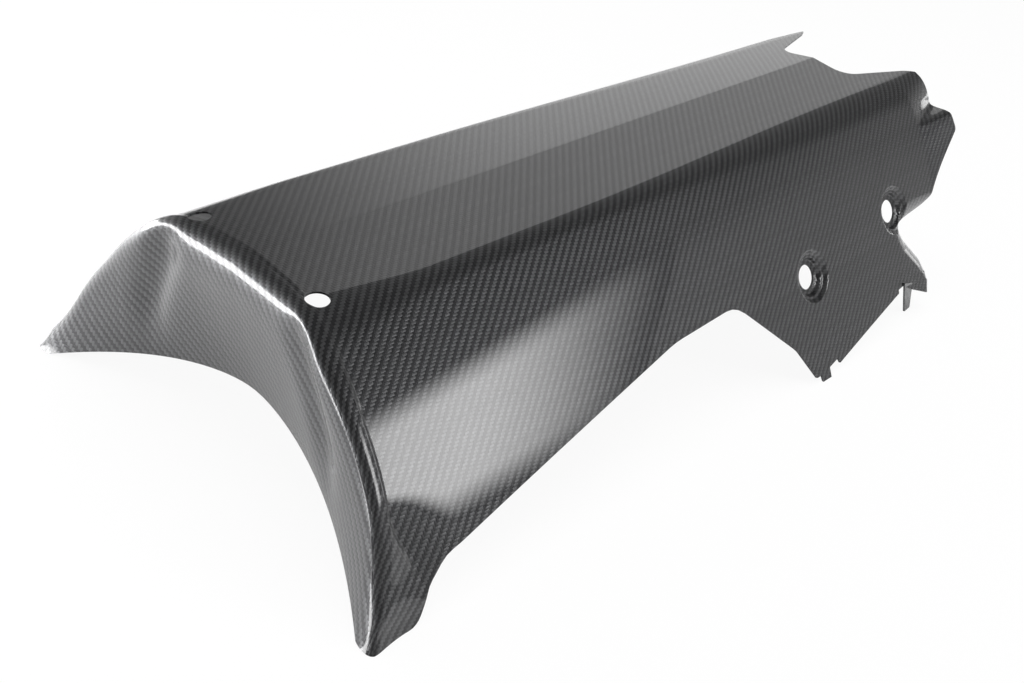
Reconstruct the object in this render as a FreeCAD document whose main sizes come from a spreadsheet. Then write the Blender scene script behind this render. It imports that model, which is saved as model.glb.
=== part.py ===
import FreeCAD, Part
import Sketcher
import math
import os

os.makedirs("parts", exist_ok=True)
V = FreeCAD.Vector

doc = FreeCAD.newDocument("belly_pan")
sheet = doc.addObject("Spreadsheet::Sheet", "Sizes")

# All sizes are millimetres. The pan stands belly up on its two front legs and its side tabs.
# X runs across with the near side positive, Y runs rearward from the front hole line, Z is up.
SIZES = {
    # laminate
    "laminate_thick": 1.5,
    # belly: a shallow ridge along the middle, a rounded chine along each side
    "ridge_front_z": 164.1,
    "ridge_rear_z": 204.4,
    "body_rear_y": 775.0,
    "slope_span": 740.0,
    "chine_front_x": 86.0,
    "chine_rear_x": 82.0,
    "chine_front_z": 159.5,
    "chine_rear_z": 192.3,
    "chine_lift": 0.5,
    "chine_round": 10.0,
    "chine_round_front": 12.0,
    "chine_round_rear": 9.0,
    # side walls: splayed, slightly bulged
    "foot_x": 216.2,
    "foot_taper": 0.0305,
    "foot_reach": 1.03,
    "wall_bulge": 6.5,
    "wall_scoop": 2.4,
    # raised rib behind the front crease
    "rib_base": 1.0,
    "rib_height": 6.0,
    "rib_width": 25.0,
    # the walls turn inward toward the foot of each front leg
    "leg_tuck": 9.0,
    "leg_tuck_height": 80.0,
    "leg_tuck_end_y": 30.0,
    "tip_tuck": 5.0,
    "tip_tuck_height": 18.0,
    # front wall between the crease on top and the free edge below
    "crease_mid_y": -24.0,
    "crease_side_step": 6.0,
    "crease_leg_sweep": 20.0,
    "lip_leg": 13.0,
    "edge_mid_z": 52.3,
    "edge_mid_y": 1.0,
    "edge_inset": 0.943,
    # stepped shoulder at the rear corners
    "shoulder_start_y": 700.0,
    "shoulder_length": 54.0,
    "shoulder_dip": 9.5,
    "shoulder_rise": 11.0,
    # front fastener holes
    "front_hole_r": 8.3,
    "front_hole_x": 67.4,
    # dished seats on the sides
    "seat_hole_r": 11.0,
    "seat_step_r": 16.5,
    "seat_rim_r": 21.0,
    "seat_step_depth": 3.5,
    "seat_depth": 7.5,
    "seat_one_y": 473.0,
    "seat_one_z": 79.0,
    "seat_two_y": 625.0,
    "seat_two_z": 100.0,
    # hanging tab
    "tab_thick": 2.0,
    "tab_plane_x": 176.5,
    # turned-in flange round the neck
    "flange_depth": 11.0,
    "arch_flange_depth": 5.0,
}

# Corners of the side outline: along Y, up Z and corner radius, from the front top round the lower edge.
SIDE_CORNERS = [
    ("front_top", -120.0, 250.0, 0.0),
    ("front_low", -120.0, 0.0, 0.0),
    ("leg_heel", -20.0, 0.0, 13.0),
    ("leg_shin", -6.0, 20.0, 24.0),
    ("leg_arch", 12.0, 32.2, 30.0),
    ("arch_front", 275.5, 80.4, 140.0),
    ("arch_top", 358.0, 85.0, 38.0),
    ("arch_foot", 427.0, 32.8, 24.0),
    ("arch_end", 447.3, 5.3, 3.0),
    ("tab_root", 455.0, 5.3, 0.0),
    ("tab_front", 455.5, 0.0, 0.0),
    ("tab_rear", 469.5, 0.0, 0.0),
    ("tab_top", 470.0, 7.5, 1.0),
    ("notch_high", 485.4, 10.3, 1.0),
    ("notch_low", 487.5, 6.0, 1.0),
    ("sill_rear", 609.7, 31.3, 0.0),
    ("step_rear", 609.9, 34.2, 0.0),
    ("lobe_root", 619.6, 35.3, 3.0),
    ("lobe_mid", 634.1, 29.0, 20.0),
    ("lobe_tip", 664.0, 18.5, 2.0),
    ("lobe_rear", 675.0, 31.0, 8.0),
    ("lobe_back", 668.0, 49.0, 10.0),
    ("neck_low", 644.0, 75.0, 12.0),
    ("neck", 637.5, 85.0, 6.0),
    ("beak_low", 682.0, 91.5, 30.0),
    ("beak_root", 702.0, 98.0, 16.0),
    ("beak_corner", 755.5, 151.5, 5.0),
    ("beak_top", 743.0, 200.0, 0.0),
    ("rear_top", 743.0, 250.0, 0.0),
]

# Corners of the cut in the rear of the belly, seen from above: across X, along Y and corner radius.
REAR_CORNERS = [
    ("cut_end_left", -86.0, 800.0, 0.0),
    ("cut_horn_left", -70.5, 749.0, 0.0),
    ("cut_side_left", -61.0, 731.0, 25.0),
    ("cut_floor_left", -38.0, 656.5, 22.0),
    ("cut_floor_right", 38.0, 656.5, 22.0),
    ("cut_side_right", 61.0, 731.0, 25.0),
    ("cut_horn_right", 70.5, 749.0, 0.0),
    ("cut_end_right", 86.0, 800.0, 0.0),
]

# Corners of the hanging tab seen from the side: along Y, up Z and corner radius.
HANGER_CORNERS = [
    ("hanger_front_top", 619.0, 38.5, 0.0),
    ("hanger_front_foot", 640.5, 0.0, 1.0),
    ("hanger_rear_foot", 649.5, 2.5, 1.0),
    ("hanger_rear_top", 637.0, 34.5, 0.0),
]

next_row = 1


def add_cell(alias, value):
    """Write one size into the sheet under its own name."""
    global next_row
    cell = "A%d" % next_row
    sheet.set(cell, str(value))
    sheet.setAlias(cell, alias)
    next_row += 1


for name, value in SIZES.items():
    add_cell(name, value)
for corners in (SIDE_CORNERS, REAR_CORNERS, HANGER_CORNERS):
    for name, along, up, radius in corners:
        add_cell(name + "_along", along)
        add_cell(name + "_up", up)
        if radius > 0:
            add_cell(name + "_radius", radius)
doc.recompute()


def size(name):
    """Read one size from the sheet."""
    return float(sheet.get(name))


def ramp(start, end, value):
    """Smooth step from 0 at start to 1 at end."""
    share = min(max((value - start) / (end - start), 0.0), 1.0)
    return share * share * (3.0 - 2.0 * share)


def add(a, b, scale=1.0):
    """Add a scaled vector to a point."""
    return (a[0] + b[0] * scale, a[1] + b[1] * scale, a[2] + b[2] * scale)


def sub(a, b):
    """Difference of two points."""
    return (a[0] - b[0], a[1] - b[1], a[2] - b[2])


def length(a):
    """Length of a vector."""
    return math.sqrt(a[0] * a[0] + a[1] * a[1] + a[2] * a[2])


def unit(a):
    """Vector of length one."""
    size_of = length(a)
    return (a[0] / size_of, a[1] / size_of, a[2] / size_of)


def cross(a, b):
    """Cross product."""
    return (a[1] * b[2] - a[2] * b[1], a[2] * b[0] - a[0] * b[2], a[0] * b[1] - a[1] * b[0])


class Skin:
    """Outer skin of one half, by formula: q runs across from ridge (0) to foot (3), y along."""

    def __init__(self):
        """Read every size once."""
        self.names = {name: size(name) for name in SIZES}

    def __getattr__(self, name):
        """Give a size as an attribute."""
        return self.names[name]

    def frame(self, y):
        """Ridge height, chine corner, foot, bulge, scoop and rounding at a station."""
        share = y / self.slope_span
        ridge = self.ridge_front_z + (self.ridge_rear_z - self.ridge_front_z) * share
        corner_x = self.chine_front_x + (self.chine_rear_x - self.chine_front_x) * ramp(230, 650, y)
        corner_z = self.chine_front_z + (self.chine_rear_z - self.chine_front_z) * share
        corner_z += self.chine_lift * (1 - ramp(-25, 90, y))
        foot = self.foot_x - self.foot_taper * y
        scoop = self.wall_scoop * ramp(200, 500, y)
        rounding = self.chine_round + self.chine_round_front * (1 - ramp(-12, 90, y))
        rounding += self.chine_round_rear * ramp(200, 620, y)
        return ridge, corner_x, corner_z, foot, scoop, rounding

    def base(self, y, q):
        """Point of the plain tub, its outward normal in the section, and the share down the wall."""
        ridge, corner_x, corner_z, foot, scoop, rounding = self.frame(y)
        run_x = foot - corner_x
        run_z = -corner_z
        chord = math.hypot(run_x, run_z)
        out_x = -run_z / chord
        out_z = run_x / chord

        def wall(s):
            high = 4 * self.wall_bulge * s * (1 - s) + scoop * math.sin(2 * math.pi * s)
            rate = 4 * self.wall_bulge * (1 - 2 * s) + scoop * 2 * math.pi * math.cos(2 * math.pi * s)
            tan_x = run_x + out_x * rate
            tan_z = run_z + out_z * rate
            tan = math.hypot(tan_x, tan_z)
            x = corner_x + run_x * s + out_x * high
            z = corner_z + run_z * s + out_z * high
            return x, z, -tan_z / tan, tan_x / tan

        flat_x = corner_x - rounding
        flat_z = ridge + (corner_z - ridge) * flat_x / corner_x
        if q <= 1:
            x = flat_x * q
            slant = math.hypot(corner_x, ridge - corner_z)
            z = ridge + (corner_z - ridge) * x / corner_x
            return x, z, (ridge - corner_z) / slant, corner_x / slant, 0.0
        begin = rounding / chord
        if q <= 2:
            t = q - 1
            end_x, end_z = wall(begin)[:2]
            x = (1 - t) ** 2 * flat_x + 2 * t * (1 - t) * corner_x + t * t * end_x
            z = (1 - t) ** 2 * flat_z + 2 * t * (1 - t) * corner_z + t * t * end_z
            tan_x = 2 * (1 - t) * (corner_x - flat_x) + 2 * t * (end_x - corner_x)
            tan_z = 2 * (1 - t) * (corner_z - flat_z) + 2 * t * (end_z - corner_z)
            tan = math.hypot(tan_x, tan_z)
            return x, z, -tan_z / tan, tan_x / tan, begin * t
        s = begin + (self.foot_reach - begin) * (q - 2)
        x, z, nx, nz = wall(s)
        return x, z, nx, nz, s

    def shoulder(self, y, s):
        """Dip below the chine and raised shelf beside it, growing toward the rear."""
        grow = (y - self.shoulder_start_y) / self.shoulder_length
        if grow <= 0:
            return 0.0
        grow = min(grow, 1.3)
        valley = 0.175 - 0.075 * min(grow, 1.15)
        shelf = 0.19
        if s <= valley:
            return -self.shoulder_dip * grow * ramp(0.0, 1.0, s / valley)
        if s <= shelf:
            change = self.shoulder_dip + self.shoulder_rise
            return grow * (change * ramp(valley, shelf, s) - self.shoulder_dip)
        return self.shoulder_rise * grow * (1 - ramp(shelf, 0.58, s))

    def crease_y(self, x):
        """Front crease seen from above."""
        y = self.crease_mid_y - self.crease_side_step * ramp(40, 110, x)
        beyond = max(0.0, (x - 130.0) / 72.0)
        return y - self.crease_leg_sweep * beyond * beyond

    def tuck(self, y, z):
        """How far the foot of a front leg stands inward of the plain wall."""
        inward = self.leg_tuck * (1 - ramp(25, self.leg_tuck_height, z))
        inward += self.tip_tuck * (1 - ramp(0, self.tip_tuck_height, z))
        return inward * (1 - ramp(-50, self.leg_tuck_end_y, y))

    def tub(self, y, q):
        """Outer point of the tub with the front rib and the rear shoulder."""
        x, z, nx, nz, s = self.base(y, q)
        behind = y - self.crease_y(x)
        rise = self.rib_base + (self.rib_height - self.rib_base) * ramp(0, 0.3, s)
        rise *= 1 - ramp(0, self.rib_width, behind)
        rise += self.shoulder(y, s)
        if q == 0:
            return (0.0, y, z + rise / nz)
        return (x + nx * rise - self.tuck(y, z), y, z + nz * rise)

    def corner(self, q):
        """Point of the front crease."""
        x = self.base(self.crease_mid_y, q)[0]
        y = self.crease_y(x)
        return self.tub(y, q)

    def free_edge(self, q):
        """Point of the free lower edge of the front wall."""
        x = self.edge_inset * self.corner(q)[0]
        y = self.edge_mid_y - 0.00158 * x * x
        z = self.edge_mid_z + 3.0 - 0.15 * math.sqrt(x * x + 400.0) - 0.0007 * x * x
        return (x, y, z)

    def reach(self, q):
        """How far the lip rounding runs from the crease; it shrinks where the front wall gets short."""
        wanted = self.lip_leg * (1.3 - 0.3 * ramp(0, 1.2, q))
        room = 0.5 * length(sub(self.free_edge(q), self.corner(q)))
        return wanted * room / (wanted ** 3 + room ** 3) ** (1.0 / 3.0)

    def point(self, q, kind, t):
        """Outer point and tangent along the row direction."""
        peak = self.corner(q)
        low = self.free_edge(q)
        face = sub(low, peak)
        reach = self.reach(q)
        face_start = add(peak, unit(face), reach)
        span = self.body_rear_y - peak[1]
        full = self.body_rear_y - self.crease_mid_y
        if kind == "face":
            place = add(low, sub(face_start, low), t)
            return place, sub(face_start, low)
        tub_start = self.tub(peak[1] + reach, q)
        knee = add(tub_start, sub(self.tub(peak[1] + reach + 0.5, q), tub_start), -2.0 * reach)
        knee = add(knee, sub(peak, knee), 0.5)
        if kind == "lip":
            place = (0.0, 0.0, 0.0)
            place = add(place, face_start, (1 - t) ** 2)
            place = add(place, knee, 2 * t * (1 - t))
            place = add(place, tub_start, t * t)
            tangent = add((0.0, 0.0, 0.0), sub(knee, face_start), 2 * (1 - t))
            tangent = add(tangent, sub(tub_start, knee), 2 * t)
            return place, tangent
        y = peak[1] + reach + t * (span - reach) / full
        place = self.tub(y, q)
        return place, sub(self.tub(y + 0.5, q), self.tub(y - 0.5, q))

    def normal(self, q, kind, t):
        """Outward normal of the skin."""
        step = 0.004
        ahead = self.point(min(q + step, 3.0), kind, t)[0]
        back = self.point(max(q - step, 0.0), kind, t)[0]
        along = self.point(q, kind, t)[1]
        return unit(cross(sub(ahead, back), along))

    def layer(self, q, kind, t, depth):
        """Point at a depth under the outer skin; the middle stays in the middle plane."""
        place = self.point(q, kind, t)[0]
        if depth == 0:
            return place
        n = self.normal(q, kind, t)
        if q == 0:
            upright = n[1] * n[1] + n[2] * n[2]
            n = (0.0, n[1] / upright, n[2] / upright)
        return add(place, n, -depth)


skin = Skin()


def spaced(points):
    """Parameters from 0 to 1 by mean chord length over several point rows."""
    count = len(points[0])
    gaps = [0.0] * (count - 1)
    for line in points:
        for index in range(count - 1):
            gaps[index] += length(sub(line[index + 1], line[index]))
    total = sum(gaps)
    values = [0.0]
    for gap in gaps:
        values.append(values[-1] + gap / total)
    values[-1] = 1.0
    return values


def fitted(points, values):
    """Cubic spline through points at given parameters."""
    curve = Part.BSplineCurve()
    curve.interpolate(Points=[V(*p) for p in points], Parameters=values)
    return curve


def smooth_face(grid, across, along):
    """Smooth surface through a grid of points: rows run along, columns run across."""
    curves = [fitted(line, across) for line in grid]
    pole_rows = [curve.getPoles() for curve in curves]
    poles = []
    for index in range(len(pole_rows[0])):
        column = [(row[index].x, row[index].y, row[index].z) for row in pole_rows]
        spine = fitted(column, along)
        poles.append(spine.getPoles())
    surface = Part.BSplineSurface()
    surface.buildFromPolesMultsKnots(
        poles, curves[0].getMultiplicities(), spine.getMultiplicities(),
        curves[0].getKnots(), spine.getKnots(), False, False, 3, 3)
    return surface


def patches(surface, across, along):
    """Cut a surface into patches at given parameters."""
    faces = []
    for u0, u1 in zip(across, across[1:]):
        for v0, v1 in zip(along, along[1:]):
            piece = surface.copy()
            piece.segment(u0, u1, v0, v1)
            faces.append(piece.toShape())
    return faces


def strips(upper, lower, fixed, breaks, across):
    """Ruled strips between two surfaces along one border."""
    faces = []
    for first, last in zip(breaks, breaks[1:]):
        if across:
            ends = [surface.vIso(fixed).toShape(first, last) for surface in (upper, lower)]
        else:
            ends = [surface.uIso(fixed).toShape(first, last) for surface in (upper, lower)]
        faces.append(Part.makeRuledSurface(ends[0], ends[1]))
    return faces


def slab_faces(rows, stations, upper, lower, hand, row_breaks, station_breaks, closed_ridge):
    """Faces of a slab of the half between two depths, cut into patches at the named rows and stations."""
    grids = []
    for depth in (upper, lower):
        grid = []
        for kind, t in rows:
            line = [skin.layer(q, kind, t, depth) for q in stations]
            grid.append([(hand * p[0], p[1], p[2]) for p in line])
        grids.append(grid)
    across_values = spaced(grids[0])
    columns = [[line[index] for line in grids[0]] for index in range(len(stations))]
    along_values = spaced(columns)
    outer = smooth_face(grids[0], across_values, along_values)
    inner = smooth_face(grids[1], across_values, along_values)
    across = [across_values[stations.index(q)] for q in station_breaks]
    along = [along_values[rows.index(r)] for r in row_breaks]
    faces = patches(outer, across, along) + patches(inner, across, along)
    faces += strips(outer, inner, 0.0, across, True)
    faces += strips(outer, inner, 1.0, across, True)
    faces += strips(outer, inner, 1.0, along, False)
    if closed_ridge:
        faces += strips(outer, inner, 0.0, along, False)
    return faces


def sewn(faces):
    """Closed solid from faces that meet along their borders."""
    joined = Part.Compound(faces)
    joined.sewShape(0.02)
    shell = joined.Shells[0]
    solid = Part.makeSolid(shell)
    if solid.Volume < 0:
        shell.reverse()
        solid = Part.makeSolid(shell)
    return solid


# Stations across: close together over the shoulder, wider on the belly and down the wall.
STATIONS = [0.0, 0.5, 1.0, 1.5, 2.0, 2.04, 2.08, 2.12, 2.16, 2.25, 2.4, 2.6, 2.8, 3.0]
STATION_BREAKS = [STATIONS[k] for k in (0, 2, 4, 8, 13)]
# Rows along: front wall, rounded lip, then paces of the whole run over rib, long plain part and shoulder.
run = skin.body_rear_y - skin.crease_mid_y
PACES = [0, 10, 20, 35, 80, 200, 350, 500, 640, 690, 715, 740, 765, 799]
ROWS = [("face", 0.0), ("face", 0.5), ("face", 0.9), ("lip", 0.25), ("lip", 0.75)]
ROWS += [("tub", run * pace / PACES[-1]) for pace in PACES]
ROW_BREAKS = [ROWS[k] for k in (0, 2, 5, 8, 10, 12, 14, 18)]

thick = skin.laminate_thick
faces = []
for hand in (1.0, -1.0):
    faces += slab_faces(ROWS, STATIONS, 0.0, thick, hand, ROW_BREAKS, STATION_BREAKS, False)
laminate = doc.addObject("Part::Feature", "Laminate")
laminate.Shape = sewn(faces)


def outline_sketch(name, corners, placement):
    """Closed sketch through corners, every corner bound to its two cells."""
    sketch = doc.addObject("Sketcher::SketchObject", name)
    sketch.Placement = placement
    count = len(corners)
    for index in range(count):
        start = corners[index]
        end = corners[(index + 1) % count]
        sketch.addGeometry(Part.LineSegment(V(start[1], start[2], 0), V(end[1], end[2], 0)), False)
    for index in range(count):
        sketch.addConstraint(Sketcher.Constraint("Coincident", index, 2, (index + 1) % count, 1))
    for index, (label, along, up, radius) in enumerate(corners):
        for kind, value, word in (("DistanceX", along, "along"), ("DistanceY", up, "up")):
            number = sketch.addConstraint(Sketcher.Constraint(kind, -1, 1, index, 1, value))
            sketch.renameConstraint(number, label + "_" + word)
            sketch.setExpression("Constraints." + label + "_" + word, "Sizes." + label + "_" + word)
    return sketch


def prism(name, sketch, forward, reverse):
    """Solid from a sketch, drawn out both ways along the sketch normal."""
    body = doc.addObject("Part::Extrusion", name)
    body.Base = sketch
    body.DirMode = "Normal"
    body.LengthFwd = forward
    body.LengthRev = reverse
    body.Solid = True
    return body


def rounded(name, base, corners, to_local):
    """Round the long edges of a prism that stand on corners with a radius."""
    doc.recompute()
    picked = []
    for number, edge in enumerate(base.Shape.Edges, 1):
        ends = [to_local(vertex.Point) for vertex in edge.Vertexes]
        if math.hypot(ends[0][0] - ends[1][0], ends[0][1] - ends[1][1]) > 0.01:
            continue
        for label, along, up, radius in corners:
            if radius <= 0:
                continue
            off_along = ends[0][0] - size(label + "_along")
            off_up = ends[0][1] - size(label + "_up")
            if math.hypot(off_along, off_up) < 0.05:
                value = size(label + "_radius")
                picked.append((number, value, value))
    body = doc.addObject("Part::Fillet", name)
    body.Base = base
    body.Edges = picked
    return body


side_plane = FreeCAD.Placement(V(0, 0, 0), FreeCAD.Rotation(V(1, 1, 1), 120))
side_sketch = outline_sketch("SideOutline", SIDE_CORNERS, side_plane)
side_prism = prism("SidePrism", side_sketch, 260.0, 260.0)
side_round = rounded("SideRound", side_prism, SIDE_CORNERS, lambda p: (p.y, p.z))
rear_sketch = outline_sketch("RearCutOutline", REAR_CORNERS, FreeCAD.Placement())
rear_prism = prism("RearCutPrism", rear_sketch, 300.0, -150.0)
rear_round = rounded("RearCutRound", rear_prism, REAR_CORNERS, lambda p: (p.x, p.y))
doc.recompute()
trimmed = doc.addObject("Part::MultiCommon", "TrimmedLaminate")
trimmed.Shapes = [laminate, side_round]
rear_cut = doc.addObject("Part::Cut", "RearCut")
rear_cut.Base = trimmed
rear_cut.Tool = rear_round
doc.recompute()


def station_at(y, height):
    """Station across where the tub has a given height, searched on the side wall."""
    low, high = 1.2, 3.0
    for turn in range(50):
        middle = (low + high) / 2
        if skin.tub(y, middle)[2] > height:
            low = middle
        else:
            high = middle
    return middle


def station_over(y, x):
    """Station across where the tub has a given distance from the middle."""
    low, high = 0.5, 2.0
    for turn in range(50):
        middle = (low + high) / 2
        if skin.tub(y, middle)[0] < x:
            low = middle
        else:
            high = middle
    return middle


def row_at(y, q):
    """Row value of the tub for a given place along."""
    start = skin.corner(q)[1] + skin.reach(q)
    full = skin.body_rear_y - skin.crease_mid_y
    return (y - start) * full / (skin.body_rear_y - start)


def seat_frame(y, q):
    """Placement on the outer skin whose local Z is the outward normal."""
    t = row_at(y, q)
    place = skin.point(q, "tub", t)[0]
    n = skin.normal(q, "tub", t)
    return FreeCAD.Placement(V(*place), FreeCAD.Rotation(V(0, 0, 1), V(*n)))


def slab(name, first_y, last_y, first_q, last_q, upper, lower):
    """Solid under a part of the near wall between two depths."""
    rows = [("tub", row_at(first_y + (last_y - first_y) * k / 6.0, 2.5)) for k in range(7)]
    stations = [first_q + (last_q - first_q) * k / 7.0 for k in range(8)]
    ends = [rows[0], rows[-1]]
    block = doc.addObject("Part::Feature", name)
    faces = slab_faces(rows, stations, upper, lower, 1.0, ends, [stations[0], stations[-1]], True)
    block.Shape = sewn(faces)
    return block


def cylinder(name, radius, height, placement):
    """Round cutter centred on a frame."""
    body = doc.addObject("Part::Cylinder", name)
    body.setExpression("Radius", "Sizes." + radius)
    body.Height = height
    body.Placement = placement.multiply(FreeCAD.Placement(V(0, 0, -height / 2), FreeCAD.Rotation()))
    return body


# Front fastener holes, square to the laminate.
front_frame = seat_frame(0.0, station_over(0.0, skin.front_hole_x))
near_hole = cylinder("FrontHoleNear", "front_hole_r", 40.0, front_frame)

# Dished seats: a stepped cup of laminate with a flat floor and a hole, square to the side wall.
rim = skin.seat_rim_r
step = skin.seat_step_r
hole = skin.seat_hole_r
down = -skin.seat_depth
half_down = -skin.seat_step_depth
CUP_CORNERS = [
    ("rim_top", rim, 8.0),
    ("rim_foot", rim, half_down),
    ("step_edge", step, half_down),
    ("step_foot", step - 1.0, down),
    ("floor_edge", hole, down),
    ("floor_under", hole, down - thick),
    ("step_under", step - 1.0 + thick, down - thick),
    ("step_back", step + thick, half_down - thick),
    ("rim_under", rim + thick, half_down - thick),
    ("rim_back", rim + thick, 8.0),
]
cup_sketch = doc.addObject("Sketcher::SketchObject", "CupProfile")
cup_sketch.Placement = FreeCAD.Placement(V(0, 0, 0), FreeCAD.Rotation(V(1, 0, 0), 90))
for index in range(len(CUP_CORNERS)):
    start = CUP_CORNERS[index]
    end = CUP_CORNERS[(index + 1) % len(CUP_CORNERS)]
    cup_sketch.addGeometry(Part.LineSegment(V(start[1], start[2], 0), V(end[1], end[2], 0)), False)
for index in range(len(CUP_CORNERS)):
    following = (index + 1) % len(CUP_CORNERS)
    cup_sketch.addConstraint(Sketcher.Constraint("Coincident", index, 2, following, 1))
CUP_SIZES = {
    "rim_foot": ("seat_rim_r", "-seat_step_depth"),
    "step_edge": ("seat_step_r", "-seat_step_depth"),
    "floor_edge": ("seat_hole_r", "-seat_depth"),
}
for index, (label, across, up) in enumerate(CUP_CORNERS):
    first = cup_sketch.addConstraint(Sketcher.Constraint("DistanceX", -1, 1, index, 1, across))
    second = cup_sketch.addConstraint(Sketcher.Constraint("DistanceY", -1, 1, index, 1, up))
    cup_sketch.renameConstraint(first, label + "_across")
    cup_sketch.renameConstraint(second, label + "_up")
    if label in CUP_SIZES:
        cup_sketch.setExpression("Constraints." + label + "_across", "Sizes." + CUP_SIZES[label][0])
        cup_sketch.setExpression("Constraints." + label + "_up", CUP_SIZES[label][1].replace("-", "-Sizes."))

near_parts = []
cutters = [near_hole]
for label, y, z in (("One", skin.seat_one_y, skin.seat_one_z), ("Two", skin.seat_two_y, skin.seat_two_z)):
    q = station_at(y, z)
    frame = seat_frame(y, q)
    cup = doc.addObject("Part::Revolution", "Cup" + label)
    cup.Source = cup_sketch
    cup.Axis = (0, 0, 1)
    cup.Base = (0, 0, 0)
    cup.Angle = 360
    cup.Solid = True
    cup.Placement = frame
    under = slab("UnderSeat" + label, y - 50.0, y + 50.0, q - 0.32, q + 0.32, 0.4, 15.0)
    kept = doc.addObject("Part::MultiCommon", "Seat" + label)
    kept.Shapes = [cup, under, side_round]
    near_parts.append(kept)
    cutters.append(cylinder("SeatCut" + label, "seat_rim_r", 40.0, frame))

# Hanging tab, a flat tongue in an upright plane that runs into the wall.
hanger_plane = FreeCAD.Placement(V(skin.tab_plane_x, 0, 0), side_plane.Rotation)
hanger_sketch = outline_sketch("HangerOutline", HANGER_CORNERS, hanger_plane)
hanger_prism = prism("HangerPrism", hanger_sketch, skin.tab_thick, 0.0)
hanger = rounded("Hanger", hanger_prism, HANGER_CORNERS, lambda p: (p.y, p.z))
near_parts.append(hanger)
doc.recompute()


def flange(name, low_y, high_y, low_z, high_z, depth, first_q, last_q):
    """Turned-in edge: the wall thickness drawn inward along one stretch of the side outline."""
    big = max(side_round.Shape.Faces, key=lambda f: f.CenterOfMass.x)
    inside = big.makeOffset2D(-thick)
    band = big.extrude(V(-520, 0, 0)).cut(inside.extrude(V(-520, 0, 0)))
    stretch = Part.makeBox(300, high_y - low_y, high_z - low_z, V(0, low_y, low_z))
    under = slab(name + "Under", low_y - 25.0, high_y + 25.0, first_q, last_q, 0.4, depth)
    strip = doc.addObject("Part::Feature", name)
    strip.Shape = under.Shape.common(band.common(stretch))
    return strip


near_parts.append(flange("NeckFlange", 636.0, 710.0, 30.0, 110.0, skin.flange_depth, 2.25, 2.97))
near_parts.append(flange("ArchFlange", 320.0, 446.0, 8.0, 95.0, skin.arch_flange_depth, 2.3, 2.99))
far_cutters = []
for cutter in cutters:
    twin = doc.addObject("Part::Mirroring", cutter.Name + "Far")
    twin.Source = cutter
    twin.Normal = (1, 0, 0)
    far_cutters.append(twin)
holed = doc.addObject("Part::Cut", "Holed")
tools = doc.addObject("Part::MultiFuse", "HoleTools")
tools.Shapes = cutters + far_cutters
holed.Base = rear_cut
holed.Tool = tools
doc.recompute()
far_parts = []
for item in near_parts:
    twin = doc.addObject("Part::Mirroring", item.Name + "Far")
    twin.Source = item
    twin.Normal = (1, 0, 0)
    far_parts.append(twin)
whole = doc.addObject("Part::MultiFuse", "WholePan")
whole.Shapes = [holed] + near_parts + far_parts
doc.recompute()

# The finished node stands with the middle of its footprint at the origin.
pan = doc.addObject("Part::Feature", "BellyPanShell")
pan.Label = "belly_pan_shell"
pan.Shape = whole.Shape.copy()
reach = whole.Shape.optimalBoundingBox()
pan.Placement = FreeCAD.Placement(V(0, -(reach.YMin + reach.YMax) / 2, -reach.ZMin), FreeCAD.Rotation())
doc.recompute()

for item in doc.Objects:
    if "Invalid" in item.State or "Error" in item.State:
        raise RuntimeError("%s did not build" % item.Name)
    if item.isDerivedFrom("Part::Feature") and not item.isDerivedFrom("Sketcher::SketchObject"):
        if item.Shape.isNull() or not item.Shape.isValid():
            raise RuntimeError("%s has no sound shape" % item.Name)
if len(pan.Shape.Solids) != 1:
    raise RuntimeError("the pan must be one solid")
pan.Shape.exportStep("parts/belly_pan_shell.step")
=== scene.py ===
import logging
import math
from dataclasses import dataclass, field
from enum import Enum
from typing import Callable, Collection, Sequence

import bmesh
import bpy
import numpy as np
from mathutils import Matrix, Vector


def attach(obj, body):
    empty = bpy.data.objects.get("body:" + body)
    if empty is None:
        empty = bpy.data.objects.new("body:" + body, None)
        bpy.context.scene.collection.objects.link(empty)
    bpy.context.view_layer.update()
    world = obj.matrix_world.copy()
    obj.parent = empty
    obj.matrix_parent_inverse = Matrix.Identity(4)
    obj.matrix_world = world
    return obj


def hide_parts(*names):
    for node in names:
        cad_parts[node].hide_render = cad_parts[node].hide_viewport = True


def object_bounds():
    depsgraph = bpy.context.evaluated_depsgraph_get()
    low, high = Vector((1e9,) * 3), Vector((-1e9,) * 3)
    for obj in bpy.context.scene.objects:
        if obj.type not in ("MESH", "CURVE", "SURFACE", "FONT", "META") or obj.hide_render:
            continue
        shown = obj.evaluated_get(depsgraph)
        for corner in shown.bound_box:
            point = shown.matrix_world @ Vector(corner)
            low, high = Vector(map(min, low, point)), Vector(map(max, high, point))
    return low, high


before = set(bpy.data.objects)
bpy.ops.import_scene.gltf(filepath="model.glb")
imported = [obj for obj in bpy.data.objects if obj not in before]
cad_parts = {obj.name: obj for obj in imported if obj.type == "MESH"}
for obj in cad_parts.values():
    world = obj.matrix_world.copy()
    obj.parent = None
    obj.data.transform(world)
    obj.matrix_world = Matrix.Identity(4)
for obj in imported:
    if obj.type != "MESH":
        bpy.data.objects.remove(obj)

Array = np.ndarray
Mesh = bmesh.types.BMesh
Face = bmesh.types.BMFace
Layers = dict[str, bmesh.types.BMLayerItem]
Socket = bpy.types.NodeSocket

log = logging.getLogger("belly_pan")
CAD_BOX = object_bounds()
MILLIMETRE = 0.001
MIDDLE_Y = 347.096
CLOTH_MAP = "cloth"
TOW_MM = 2.0
TOWS_PER_REPEAT = 4
CUT_DISTANCE = 0.01


class Sheet(Enum):
    """Part of the laminate that a face belongs to, with the place of its finish."""

    OUTER = 0
    INNER = 1
    RIM = 2


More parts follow.
